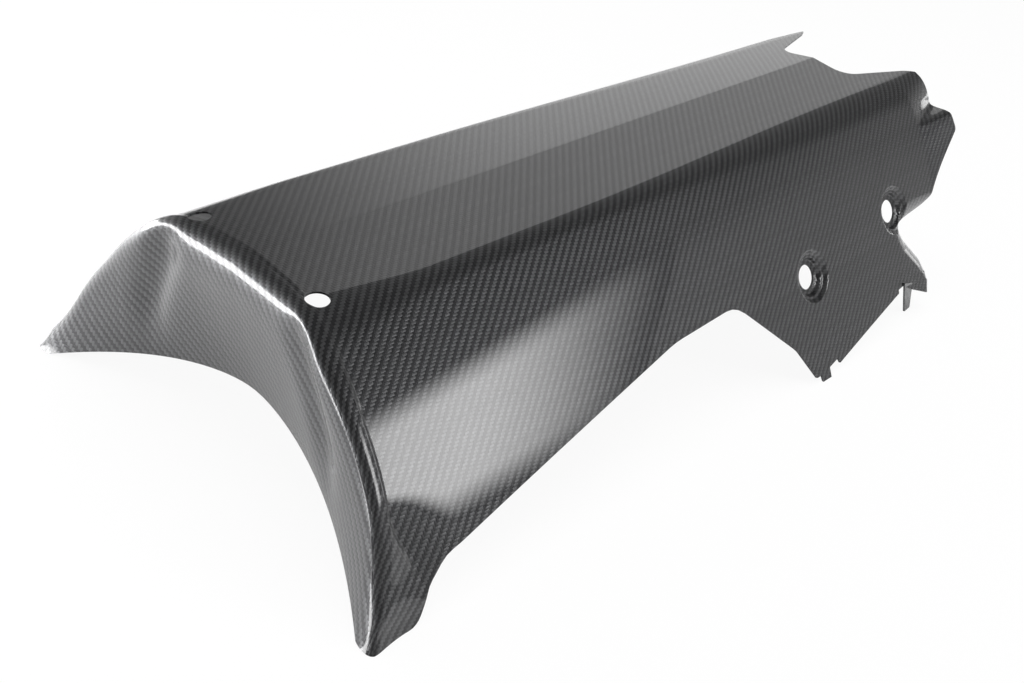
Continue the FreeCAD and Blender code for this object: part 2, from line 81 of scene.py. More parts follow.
class View(Enum):
    """Flat view of the sheet, by the two axes that it shows."""

    SIDE = (1, 2)
    TOP = (0, 1)

    def flat(self, place: Sequence[float]) -> tuple[float, float]:
        """Drop the axis that the view looks along."""
        return place[self.value[0]], place[self.value[1]]

    def lifted(self, first: float, second: float) -> Vector:
        """Turn a flat point or direction back into space.

        Args:
            first: Its part on the view's first axis.
            second: Its part on the second axis.

        Returns:
            The point or direction, with nothing along the line of sight.
        """
        out = Vector((0.0, 0.0, 0.0))
        out[self.value[0]], out[self.value[1]] = first, second
        return out


def ramp(start: float, end: float, value: Array) -> Array:
    """Smooth step.

    Args:
        start: Value where the step begins.
        end: Value where the step is complete.
        value: Values to map.

    Returns:
        Shares from 0 to 1.
    """
    share = np.clip((np.asarray(value, float) - start) / (end - start), 0.0, 1.0)
    return share * share * (3.0 - 2.0 * share)


def stacked(x: Array, y: Array, z: Array) -> Array:
    """Join three coordinate arrays into rows of points."""
    return np.stack(np.broadcast_arrays(x, y, z), axis=-1).astype(float)


def unit(rows: Array) -> Array:
    """Scale each row to length one."""
    return rows / np.maximum(np.linalg.norm(rows, axis=-1, keepdims=True), 1e-12)


def inside(points: Array, loop: Array) -> Array:
    """Tell which flat points lie inside a closed loop.

    Args:
        points: Points, one row each.
        loop: Corners of the loop, one row each.

    Returns:
        True for each point inside.
    """
    x, y = points[:, 0], points[:, 1]
    found = np.zeros(len(points), bool)
    for (ax, ay), (bx, by) in zip(loop, np.roll(loop, -1, axis=0)):
        if ay == by:
            continue
        crosses = (ay > y) != (by > y)
        found ^= crosses & (x < (bx - ax) * (y - ay) / (by - ay) + ax)
    return found


def to_frame(bm: Mesh) -> None:
    """Move a mesh from the pan's own millimetres to the shared frame in metres."""
    for vert in bm.verts:
        vert.co = Vector((vert.co.x, vert.co.y - MIDDLE_Y, vert.co.z)) * MILLIMETRE


def mesh_object(name: str, bm: Mesh) -> bpy.types.Object:
    """Turn a finished mesh into an object of the scene.

    Args:
        name: Name of the object and of its mesh.
        bm: The finished mesh, which is freed.

    Returns:
        The object, at the origin and unturned.
    """
    mesh = bpy.data.meshes.new(name)
    bm.to_mesh(mesh)
    bm.free()
    obj = bpy.data.objects.new(name, mesh)
    bpy.context.scene.collection.objects.link(obj)
    return obj


@dataclass(frozen=True)
class Corner:
    """One corner of a flat outline, in millimetres, with its rounding."""

    along: float
    up: float
    radius: float = 0.0

    def flat(self) -> Vector:
        """Place of the corner."""
        return Vector((self.along, self.up))


@dataclass
class Outline:
    """Closed flat outline with rounded corners."""

    corners: Sequence[Corner]
    step_deg: float = 14.0
    straight_deg: float = 179.5

    def points(self) -> Array:
        """Trace the outline with its corners rounded.

        Returns:
            Points in order, one row each.
        """
        traced: list[tuple[float, float]] = []
        for index, corner in enumerate(self.corners):
            here = corner.flat()
            back = (self.corners[index - 1].flat() - here).normalized()
            ahead = (self.corners[(index + 1) % len(self.corners)].flat() - here).normalized()
            opening = back.angle(ahead)
            if corner.radius <= 0 or opening > math.radians(self.straight_deg):
                traced.append(tuple(here))
                continue
            run = corner.radius / math.tan(opening / 2)
            centre = here + (back + ahead).normalized() * (corner.radius / math.sin(opening / 2))
            first = here + back * run - centre
            last = here + ahead * run - centre
            sweep = first.angle_signed(last)
            steps = max(2, int(abs(math.degrees(sweep)) / self.step_deg) + 1)
            for turn in range(steps + 1):
                traced.append(tuple(centre + Matrix.Rotation(-sweep * turn / steps, 2) @ first))
        return np.array(traced)


@dataclass
class RolledEdge:
    """Edge that curls inward along an open flat line, given as along, up and curling width."""

    line: Sequence[tuple[float, float, float]]
    turn: float = 0.9

    def nearest(self, y: Array, z: Array) -> tuple[Array, ...]:
        """Find the closest place of the line.

        Args:
            y: Distance along the pan.
            z: Height.

        Returns:
            Distance, the two parts of the direction away from the line, the curling width there, and 1 on
            the laminate's side of the line or -1 beyond it.
        """
        best = np.full(y.shape, 1e9)
        away_y, away_z, radius = np.zeros(y.shape), np.zeros(y.shape), np.zeros(y.shape)
        side = np.ones(y.shape)
        last = len(self.line) - 2
        for index, ((ay, az, ar), (by, bz, br)) in enumerate(zip(self.line, self.line[1:])):
            run = (by - ay) ** 2 + (bz - az) ** 2
            raw = ((y - ay) * (by - ay) + (z - az) * (bz - az)) / run
            share = np.clip(raw, 0.0, 1.0)
            off_y = y - ay - share * (by - ay)
            off_z = z - az - share * (bz - az)
            gap = np.hypot(off_y, off_z)
            closer = gap < best
            best = np.where(closer, gap, best)
            away_y = np.where(closer, off_y / np.maximum(gap, 1e-9), away_y)
            away_z = np.where(closer, off_z / np.maximum(gap, 1e-9), away_z)
            radius = np.where(closer, ar + share * (br - ar), radius)
            beyond = (by - ay) * off_z < (bz - az) * off_y
            ended = ((index == 0) & (raw < 0)) | ((index == last) & (raw > 1))
            side = np.where(closer, np.where(beyond & ~ended, -1.0, 1.0), side)
        return best, away_y, away_z, radius, side


@dataclass
class Dish:
    """Stepped round seat pressed into the side wall."""

    centre_y: float
    centre_z: float
    rim_radius: float = 22.6
    ledge_radius: float = 18.6
    step_radius: float = 15.4
    hole_radius: float = 11.0
    ledge_depth: float = 3.6
    floor_depth: float = 7.6
    rim_blend: tuple[float, float] = (0.9, 1.4)
    floor_blend: float = 1.0
    flat_blend: float = 2.0
    reach_beyond_rim: float = 4.0
    reach_high: float = 30.0
    place: Array = field(default_factory=lambda: np.zeros(3))
    axis: Array = field(default_factory=lambda: np.array([1.0, 0.0, 0.0]))

    def depth(self, radius: Array) -> Array:
        """Depth under the wall at a distance from the axis.

        Args:
            radius: Distance from the axis.

        Returns:
            Depth, with the ledge and the floor as its two steps.
        """
        begin, end = self.ledge_radius + self.rim_blend[0], self.rim_radius + self.rim_blend[1]
        first = self.ledge_depth * (1 - ramp(begin, end, radius))
        rest = self.floor_depth - self.ledge_depth
        return first + rest * (1 - ramp(self.step_radius, self.ledge_radius - self.floor_blend, radius))

    def pressed(self, points: Array) -> Array:
        """Move points of the wall into the dish.

        Args:
            points: Points of the wall, one row each.

        Returns:
            The moved points.
        """
        off = points - self.place
        high = off @ self.axis
        radius = np.linalg.norm(off - high[..., None] * self.axis, axis=-1)
        near = (radius < self.rim_radius + self.reach_beyond_rim) & (np.abs(high) < self.reach_high)
        flat = 1 - ramp(self.step_radius, self.rim_radius + self.flat_blend, radius)
        shift = np.where(near, -self.depth(radius) - high * flat, 0.0)
        return points + shift[..., None] * self.axis


@dataclass
class PanSkin:
    """Outer skin of the pan by formula, in millimetres, belly up, with the ridge over the middle.

    Stations q run across: 0 at the ridge, 1 to 2 round the chine and 3 at the foot. Pairs of numbers are the
    first and last place of a smooth change.
    """

    dishes: list[Dish]
    roll: RolledEdge
    ridge_front_z: float = 164.1
    ridge_rear_z: float = 204.4
    body_rear_y: float = 775.0
    slope_span: float = 740.0
    chine_front_x: float = 86.0
    chine_rear_x: float = 82.0
    chine_change_y: tuple[float, float] = (230, 650)
    chine_front_z: float = 159.5
    chine_rear_z: float = 192.3
    chine_lift: float = 0.5
    chine_lift_y: tuple[float, float] = (-25, 90)
    chine_round: float = 10.0
    chine_round_front: float = 12.0
    chine_round_front_y: tuple[float, float] = (-12, 90)
    chine_round_rear: float = 9.0
    chine_round_rear_y: tuple[float, float] = (200, 620)
    foot_x: float = 216.2
    foot_taper: float = 0.0305
    foot_reach: float = 1.03
    wall_bulge: float = 6.5
    wall_scoop: float = 2.4
    wall_scoop_y: tuple[float, float] = (200, 500)
    rib_base: float = 1.0
    rib_height: float = 6.0
    rib_grow: tuple[float, float] = (0, 0.3)
    rib_width: float = 22.0
    rib_waist: float = 4.0
    rib_swell: float = 1.5
    rib_swell_in: tuple[float, float] = (0.1, 0.4)
    rib_swell_out: tuple[float, float] = (0.6, 0.9)
    rib_foot: float = 26.0
    rib_foot_in: tuple[float, float] = (0.6, 0.95)
    rib_toe: tuple[float, float] = (0.72, 0.95)
    rib_power: float = 2.4
    rib_brink: float = 0.25
    rib_brink_in: tuple[float, float] = (0.8, 1.0)
    fold_depth: float = 6.5
    fold_width: float = 15.0
    fold_top_x: float = 78.0
    fold_low_x: float = 104.0
    fold_z: tuple[float, float] = (70, 150)
    fold_in: tuple[float, float] = (-2.0, -1.35)
    fold_out: tuple[float, float] = (-1.0, -0.25)
    leg_tuck: float = 9.0
    leg_tuck_height: float = 80.0
    leg_tuck_full_z: float = 25.0
    leg_tuck_start_y: float = -50.0
    leg_tuck_end_y: float = 30.0
    tip_tuck: float = 5.0
    tip_tuck_height: float = 18.0
    crease_mid_y: float = -24.0
    crease_side_step: float = 6.0
    crease_side_x: tuple[float, float] = (40, 110)
    crease_leg_x: float = 130.0
    crease_leg_span: float = 72.0
    crease_leg_sweep: float = 20.0
    lip_leg: float = 13.0
    lip_middle: float = 1.75
    lip_narrowing: float = 0.65
    lip_span: float = 2.2
    lip_room: float = 0.5
    lip_face_share: float = 1.6
    lip_fullness: float = 0.25
    edge_mid_z: float = 52.3
    edge_mid_y: float = 1.0
    edge_rise: float = 3.0
    edge_fall: float = 0.15
    edge_round: float = 20.0
    edge_sag: float = 0.0007
    edge_sweep: float = 0.00158
    edge_inset: float = 0.943
    shoulder_start_y: float = 700.0
    shoulder_length: float = 54.0
    shoulder_most: float = 1.3
    shoulder_dip: float = 9.5
    shoulder_rise: float = 11.0
    shoulder_valley: float = 0.175
    shoulder_valley_shift: float = 0.075
    shoulder_valley_most: float = 1.15
    shoulder_shelf: float = 0.19
    shoulder_end: float = 0.58
    laminate: float = 1.5
    roll_start_y: float = 600.0
    ridge_blend: float = 0.02
    step_q: float = 0.01
    step_y: float = 0.5

    def wall(self, s: Array, y: Array) -> tuple[Array, ...]:
        """Section of the side wall.

        Args:
            s: Share down the wall.
            y: Distance along the pan.

        Returns:
            Place across and up, and the two parts of the outward direction.
        """
        _, corner_x, corner_z, foot, scoop, _ = self.section(y)
        run_x, run_z = foot - corner_x, -corner_z
        chord = np.hypot(run_x, run_z)
        out_x, out_z = -run_z / chord, run_x / chord
        high = 4 * self.wall_bulge * s * (1 - s) + scoop * np.sin(2 * np.pi * s)
        rate = 4 * self.wall_bulge * (1 - 2 * s) + scoop * 2 * np.pi * np.cos(2 * np.pi * s)
        tan_x, tan_z = run_x + out_x * rate, run_z + out_z * rate
        tan = np.hypot(tan_x, tan_z)
        x, z = corner_x + run_x * s + out_x * high, corner_z + run_z * s + out_z * high
        return x, z, -tan_z / tan, tan_x / tan

    def section(self, y: Array) -> tuple[Array, ...]:
        """Driving sizes of the section at a station.

        Args:
            y: Distance along the pan.

        Returns:
            Ridge height, chine across and up, foot, scoop and rounding of the chine.
        """
        share = y / self.slope_span
        ridge = self.ridge_front_z + (self.ridge_rear_z - self.ridge_front_z) * share
        change = ramp(*self.chine_change_y, y)
        corner_x = self.chine_front_x + (self.chine_rear_x - self.chine_front_x) * change
        corner_z = self.chine_front_z + (self.chine_rear_z - self.chine_front_z) * share
        corner_z = corner_z + self.chine_lift * (1 - ramp(*self.chine_lift_y, y))
        foot = self.foot_x - self.foot_taper * y
        scoop = self.wall_scoop * ramp(*self.wall_scoop_y, y)
        rounding = self.chine_round + self.chine_round_front * (1 - ramp(*self.chine_round_front_y, y))
        rounding = rounding + self.chine_round_rear * ramp(*self.chine_round_rear_y, y)
        return ridge, corner_x, corner_z, foot, scoop, rounding

    def base(self, y: Array, q: Array) -> tuple[Array, ...]:
        """Plain tub.

        Args:
            y: Distance along the pan.
            q: Station across.

        Returns:
            Place across and up, the two parts of the outward direction, and the share down the wall.
        """
        ridge, corner_x, corner_z, foot, _, rounding = self.section(y)
        chord = np.hypot(foot - corner_x, corner_z)
        flat_x = corner_x - rounding
        flat_z = ridge + (corner_z - ridge) * flat_x / corner_x
        slant = np.hypot(corner_x, ridge - corner_z)
        top_x = flat_x * q
        top_z = ridge + (corner_z - ridge) * top_x / corner_x
        begin = rounding / chord
        end_x, end_z = self.wall(begin, y)[:2]
        t = np.clip(q - 1, 0, 1)
        bend_x = (1 - t) ** 2 * flat_x + 2 * t * (1 - t) * corner_x + t * t * end_x
        bend_z = (1 - t) ** 2 * flat_z + 2 * t * (1 - t) * corner_z + t * t * end_z
        tan_x = 2 * (1 - t) * (corner_x - flat_x) + 2 * t * (end_x - corner_x)
        tan_z = 2 * (1 - t) * (corner_z - flat_z) + 2 * t * (end_z - corner_z)
        tan = np.hypot(tan_x, tan_z)
        down = begin + (self.foot_reach - begin) * (q - 2)
        wall_x, wall_z, wall_nx, wall_nz = self.wall(down, y)
        first, second = q <= 1, q <= 2
        x = np.where(first, top_x, np.where(second, bend_x, wall_x))
        z = np.where(first, top_z, np.where(second, bend_z, wall_z))
        nx = np.where(first, (ridge - corner_z) / slant, np.where(second, -tan_z / tan, wall_nx))
        nz = np.where(first, corner_x / slant, np.where(second, tan_x / tan, wall_nz))
        return x, z, nx, nz, np.where(first, 0.0, np.where(second, begin * t, down))

    def shoulder(self, y: Array, s: Array) -> Array:
        """Dip below the chine and raised shelf beside it, growing toward the rear.

        Args:
            y: Distance along the pan.
            s: Share down the wall.

        Returns:
            Height over the plain wall.
        """
        grow = np.clip((y - self.shoulder_start_y) / self.shoulder_length, 0.0, self.shoulder_most)
        shift = self.shoulder_valley_shift * np.minimum(grow, self.shoulder_valley_most)
        valley = self.shoulder_valley - shift
        share = ramp(0.0, 1.0, (s - valley) / (self.shoulder_shelf - valley))
        dip = -self.shoulder_dip * ramp(0.0, 1.0, s / valley)
        climb = (self.shoulder_dip + self.shoulder_rise) * share - self.shoulder_dip
        fade = self.shoulder_rise * (1 - ramp(self.shoulder_shelf, self.shoulder_end, s))
        return grow * np.where(s <= valley, dip, np.where(s <= self.shoulder_shelf, climb, fade))

    def crease_y(self, x: Array) -> Array:
        """Front crease seen from above.

        Args:
            x: Distance from the middle.

        Returns:
            Place along the pan.
        """
        beyond = np.maximum(0.0, (x - self.crease_leg_x) / self.crease_leg_span)
        step = self.crease_side_step * ramp(*self.crease_side_x, x)
        return self.crease_mid_y - step - self.crease_leg_sweep * beyond ** 2

    def tuck(self, y: Array, z: Array) -> Array:
        """How far the foot of a front leg stands inward of the plain wall.

        Args:
            y: Distance along the pan.
            z: Height.

        Returns:
            Shift toward the middle.
        """
        inward = self.leg_tuck * (1 - ramp(self.leg_tuck_full_z, self.leg_tuck_height, z))
        inward = inward + self.tip_tuck * (1 - ramp(0, self.tip_tuck_height, z))
        return inward * (1 - ramp(self.leg_tuck_start_y, self.leg_tuck_end_y, y))

    def rib(self, x: Array, y: Array, s: Array) -> Array:
        """Raised rib behind the front crease, which melts into the foot of the leg.

        Args:
            x: Distance from the middle.
            y: Distance along the pan.
            s: Share down the wall.

        Returns:
            Height over the plain wall.
        """
        rise = self.rib_base + (self.rib_height - self.rib_base) * ramp(*self.rib_grow, s)
        rise = rise + self.rib_swell * ramp(*self.rib_swell_in, s) * (1 - ramp(*self.rib_swell_out, s))
        width = self.rib_width - self.rib_waist * ramp(*self.rib_swell_in, s)
        width = width + self.rib_foot * ramp(*self.rib_foot_in, s)
        share = np.clip((y - self.crease_y(x)) / width, 0, 1)
        crown = 1 - share ** self.rib_power * (1 - self.rib_brink * (1 - ramp(*self.rib_brink_in, share)))
        crown = crown + (1 - ramp(0, 1, share) - crown) * ramp(*self.rib_toe, s)
        return rise * np.where(share < 1, crown, 0.0)

    def tub(self, y: Array, q: Array) -> Array:
        """Outer point of the tub with the front rib and the rear shoulder.

        Args:
            y: Distance along the pan.
            q: Station across.

        Returns:
            Points, one row each.
        """
        x, z, nx, nz, s = self.base(y, q)
        rise = self.rib(x, y, s) + self.shoulder(y, s)
        off_ridge = np.clip(q / self.ridge_blend, 0, 1)
        return stacked(x + nx * rise * off_ridge - self.tuck(y, z), y, z + nz * rise)

    def fold(self, x: Array, z: Array, v: Array) -> Array:
        """Soft fold between the middle of the front wall and each leg.

        Args:
            x: Distance from the middle.
            z: Height.
            v: Row along, as in half.

        Returns:
            Depth rearward.
        """
        middle = self.fold_low_x + (self.fold_top_x - self.fold_low_x) * ramp(*self.fold_z, z)
        bell = np.exp(-(((x - middle) / self.fold_width) ** 2))
        return self.fold_depth * bell * ramp(*self.fold_in, v) * (1 - ramp(*self.fold_out, v))

    def crease(self, q: Array) -> Array:
        """Points of the front crease at the stations."""
        x = self.base(np.full(q.shape, self.crease_mid_y), q)[0]
        return self.tub(self.crease_y(x), q)

    def free_edge(self, q: Array) -> Array:
        """Free lower edge of the front wall.

        Args:
            q: Station across.

        Returns:
            Points, one row each.
        """
        x = self.edge_inset * self.crease(q)[..., 0]
        fall = self.edge_fall * np.sqrt(x * x + self.edge_round ** 2)
        z = self.edge_mid_z + self.edge_rise - fall - self.edge_sag * x * x
        return stacked(x, self.edge_mid_y - self.edge_sweep * x * x, z)

    def half(self, q: Array, v: Array, plain: bool) -> Array:
        """Outer skin of the near half.

        Args:
            q: Station across, 0 at the ridge, 3 at the foot.
            v: Row along: -2 to -1 down the front wall, -1 to 0 over the lip, then millimetres rearward.
            plain: Leave out the dishes and the curled edge.

        Returns:
            Points, one row each.
        """
        peak, low = self.crease(q), self.free_edge(q)
        wanted = self.lip_leg * (self.lip_middle - self.lip_narrowing * ramp(0, self.lip_span, q))
        room = self.lip_room * np.linalg.norm(low - peak, axis=-1)
        reach = wanted * room / (wanted ** 3 + room ** 3) ** (1 / 3)
        face_top = peak + unit(low - peak) * (self.lip_face_share * reach)[..., None]
        start = peak[..., 1] + reach
        tub_start = self.tub(start, q)
        slope = (self.tub(start + self.step_y, q) - tub_start) / -self.step_y
        knee = self.lip_fullness * (tub_start + slope * reach[..., None]) + (1 - self.lip_fullness) * peak
        down = np.clip(v + 2, -0.2, 1)[..., None]
        t = np.clip(v + 1, 0, 1)[..., None]
        lip = (1 - t) ** 2 * face_top + 2 * t * (1 - t) * knee + t * t * tub_start
        full = self.body_rear_y - self.crease_mid_y
        y = start + np.maximum(v, 0) * (self.body_rear_y - start) / full
        body = self.tub(y, q) if plain else self.rolled(y, q)
        face = low + (face_top - low) * down
        points = np.where((v < -1)[..., None], face, np.where((v < 0)[..., None], lip, body))
        points[..., 1] += self.fold(points[..., 0], points[..., 2], v)
        if not plain:
            for dish in self.dishes:
                points = dish.pressed(points)
        return points

    def rolled(self, y: Array, q: Array) -> Array:
        """Tub with its edge curled inward round the neck.

        Args:
            y: Distance along the pan.
            q: Station across.

        Returns:
            Points, one row each.
        """
        points = self.tub(y, q)
        gap, away_y, away_z, radius, side = self.roll.nearest(y, points[..., 2])
        full, past = self.roll.turn, side < 0
        turn = np.where(past, full, np.clip(1 - gap / np.maximum(radius, 1e-6), 0, 1) * full)
        turn = np.where((y > self.roll_start_y) & (q > 2), turn, 0.0)
        bend = radius / math.sin(full)
        slide = np.where(past, gap * math.cos(full) - gap, radius - bend * np.sin(turn) - gap)
        sunk = bend * (1 - np.cos(turn)) + np.where(past, gap * math.sin(full), 0.0)
        slide = np.where(turn > 0, slide, 0.0)
        below = (self.tub(y, q + self.step_q)[..., 2] - points[..., 2]) / self.step_q
        new_y, new_q = y + slide * away_y, q + slide * away_z / np.minimum(below, -1.0)
        moved = self.tub(new_y, new_q)
        across = self.tub(new_y, new_q + self.step_q) - self.tub(new_y, new_q - self.step_q)
        along = self.tub(new_y + self.step_y, new_q) - self.tub(new_y - self.step_y, new_q)
        outward = unit(np.cross(across, along))
        return moved - outward * np.where(turn > 0, sunk, 0.0)[..., None]

    def point(self, q: Array, v: Array, plain: bool = False) -> Array:
        """Outer skin on both sides: negative stations lie on the far side.

        Args:
            q: Station across.
            v: Row along, as in half.
            plain: Leave out the dishes and the curled edge.

        Returns:
            Points, one row each.
        """
        points = self.half(np.abs(q), v, plain)
        points[..., 0] *= np.where(q < 0, -1.0, 1.0)
        return points

    def normal(self, q: Array, v: Array, plain: bool = False) -> Array:
        """Outward direction of the skin by small differences.

        Args:
            q: Station across.
            v: Row along, as in half.
            plain: Leave out the dishes and the curled edge.

        Returns:
            Directions of length one, one row each.
        """
        small_q = 0.0015
        step_v = np.where(v < -1, 0.004, np.where(v < 0, 0.01, 0.3))
        across = self.point(q + small_q, v, plain) - self.point(q - small_q, v, plain)
        along = self.point(q, v + step_v, plain) - self.point(q, v - step_v, plain)
        return unit(np.cross(across, along))

    def row_of(self, y: float, q: float) -> float:
        """Row value of a place along the tub."""
        ends = self.half(np.array([q, q]), np.array([0.0, 100.0]), True)[:, 1]
        return float((y - ends[0]) / (ends[1] - ends[0]) * 100.0)

    def station_where(self, y: float, low: float, high: float,
                      falls_short: Callable[[Array], bool]) -> float:
        """Search for the station of a place on the tub by halving.

        Args:
            y: Distance along the pan.
            low: Station where the search begins.
            high: Station where it ends.
            falls_short: Tells of a point whether the place lies further out.

        Returns:
            The last station tried.
        """
        for _ in range(40):
            q = (low + high) / 2
            place = self.tub(np.array([y]), np.array([q]))[0]
            low, high = (q, high) if falls_short(place) else (low, q)
        return q

    def spot(self, y: float, q: float, plain: bool) -> tuple[Array, Array]:
        """Place and outward direction at a distance along and a station.

        Args:
            y: Distance along the pan.
            q: Station across.
            plain: Leave out the dishes and the curled edge.

        Returns:
            The point and the direction.
        """
        place = self.tub(np.array([y]), np.array([q]))[0]
        return place, self.normal(np.array([q]), np.array([self.row_of(y, q)]), plain)[0]


@dataclass
class OutlineCutter:
    """Cuts the faces above a height along a closed outline, with a table of cells to find them fast."""

    bm: Mesh
    view: View
    above: float = -100.0
    cell: float = 12.0
    margin: float = 0.02
    shortest: float = 1e-6
    boxes: dict[Face, tuple[Array, Array]] = field(default_factory=dict)
    cells: dict[tuple[int, int], set[Face]] = field(default_factory=dict)

    def covered(self, low: Array, high: Array) -> list[tuple[int, int]]:
        """List the cells that a flat box touches.

        Args:
            low: Lower corner of the box.
            high: Upper corner of the box.

        Returns:
            Places of the cells in the table.
        """
        across = range(int(low[0] // self.cell), int(high[0] // self.cell) + 1)
        up = range(int(low[1] // self.cell), int(high[1] // self.cell) + 1)
        return [(i, j) for i in across for j in up]

    def note(self, face: Face) -> None:
        """Note the flat box of a face and the cells that it touches.

        Args:
            face: Face of the sheet.
        """
        flats = np.array([self.view.flat(vert.co) for vert in face.verts])
        self.boxes[face] = (flats.min(axis=0), flats.max(axis=0))
        for place in self.covered(*self.boxes[face]):
            self.cells.setdefault(place, set()).add(face)

    def touched(self, low: Array, high: Array) -> set[Face]:
        """Faces whose flat box meets a given one.

        Args:
            low: Lower corner of the flat box.
            high: Upper corner of the flat box.

        Returns:
            The faces that are still in the mesh.
        """
        picked = set()
        for place in self.covered(low, high):
            for face in self.cells.get(place, ()):
                start, end = self.boxes[face]
                if face.is_valid and (start <= high).all() and (end >= low).all():
                    picked.add(face)
        return picked

    def cut(self, loop: Array) -> None:
        """Split every face that the outline crosses.

        Args:
            loop: The outline's points in the flat view.
        """
        for face in self.bm.faces:
            if face.calc_center_median().z > self.above:
                self.note(face)
        for start, end in zip(loop, np.roll(loop, -1, axis=0)):
            picked = self.touched(np.minimum(start, end) - self.margin, np.maximum(start, end) + self.margin)
            run = Vector(end - start)
            if not picked or run.length < self.shortest:
                continue
            halved = bmesh.ops.bisect_plane(
                self.bm, geom=with_edges(picked), dist=CUT_DISTANCE, plane_co=self.view.lifted(*start),
                plane_no=self.view.lifted(-run.y, run.x).normalized())
            for item in halved["geom"]:
                if isinstance(item, Face) and item.is_valid:
                    self.note(item)

    def trim(self, loop: Array, keep_inside: bool) -> None:
        """Cut along the outline and delete what lies on its other side.

        Args:
            loop: The outline's points in the flat view.
            keep_inside: Keep the faces inside the outline, or those outside.
        """
        self.cut(loop)
        faces = [face for face in self.bm.faces if face.calc_center_median().z > self.above]
        within = inside(np.array([self.view.flat(face.calc_center_median()) for face in faces]), loop)
        gone = [face for face, state in zip(faces, within) if state != keep_inside]
        bmesh.ops.delete(self.bm, geom=gone, context="FACES")


def with_edges(faces: Collection[Face]) -> list:
    """List faces together with their edges and corners.

    Args:
        faces: Faces to start from.

    Returns:
        The faces, then their edges, then their vertices.
    """
    edges = {edge for face in faces for edge in face.edges}
    verts = {vert for face in faces for vert in face.verts}
    return list(faces) + list(edges) + list(verts)


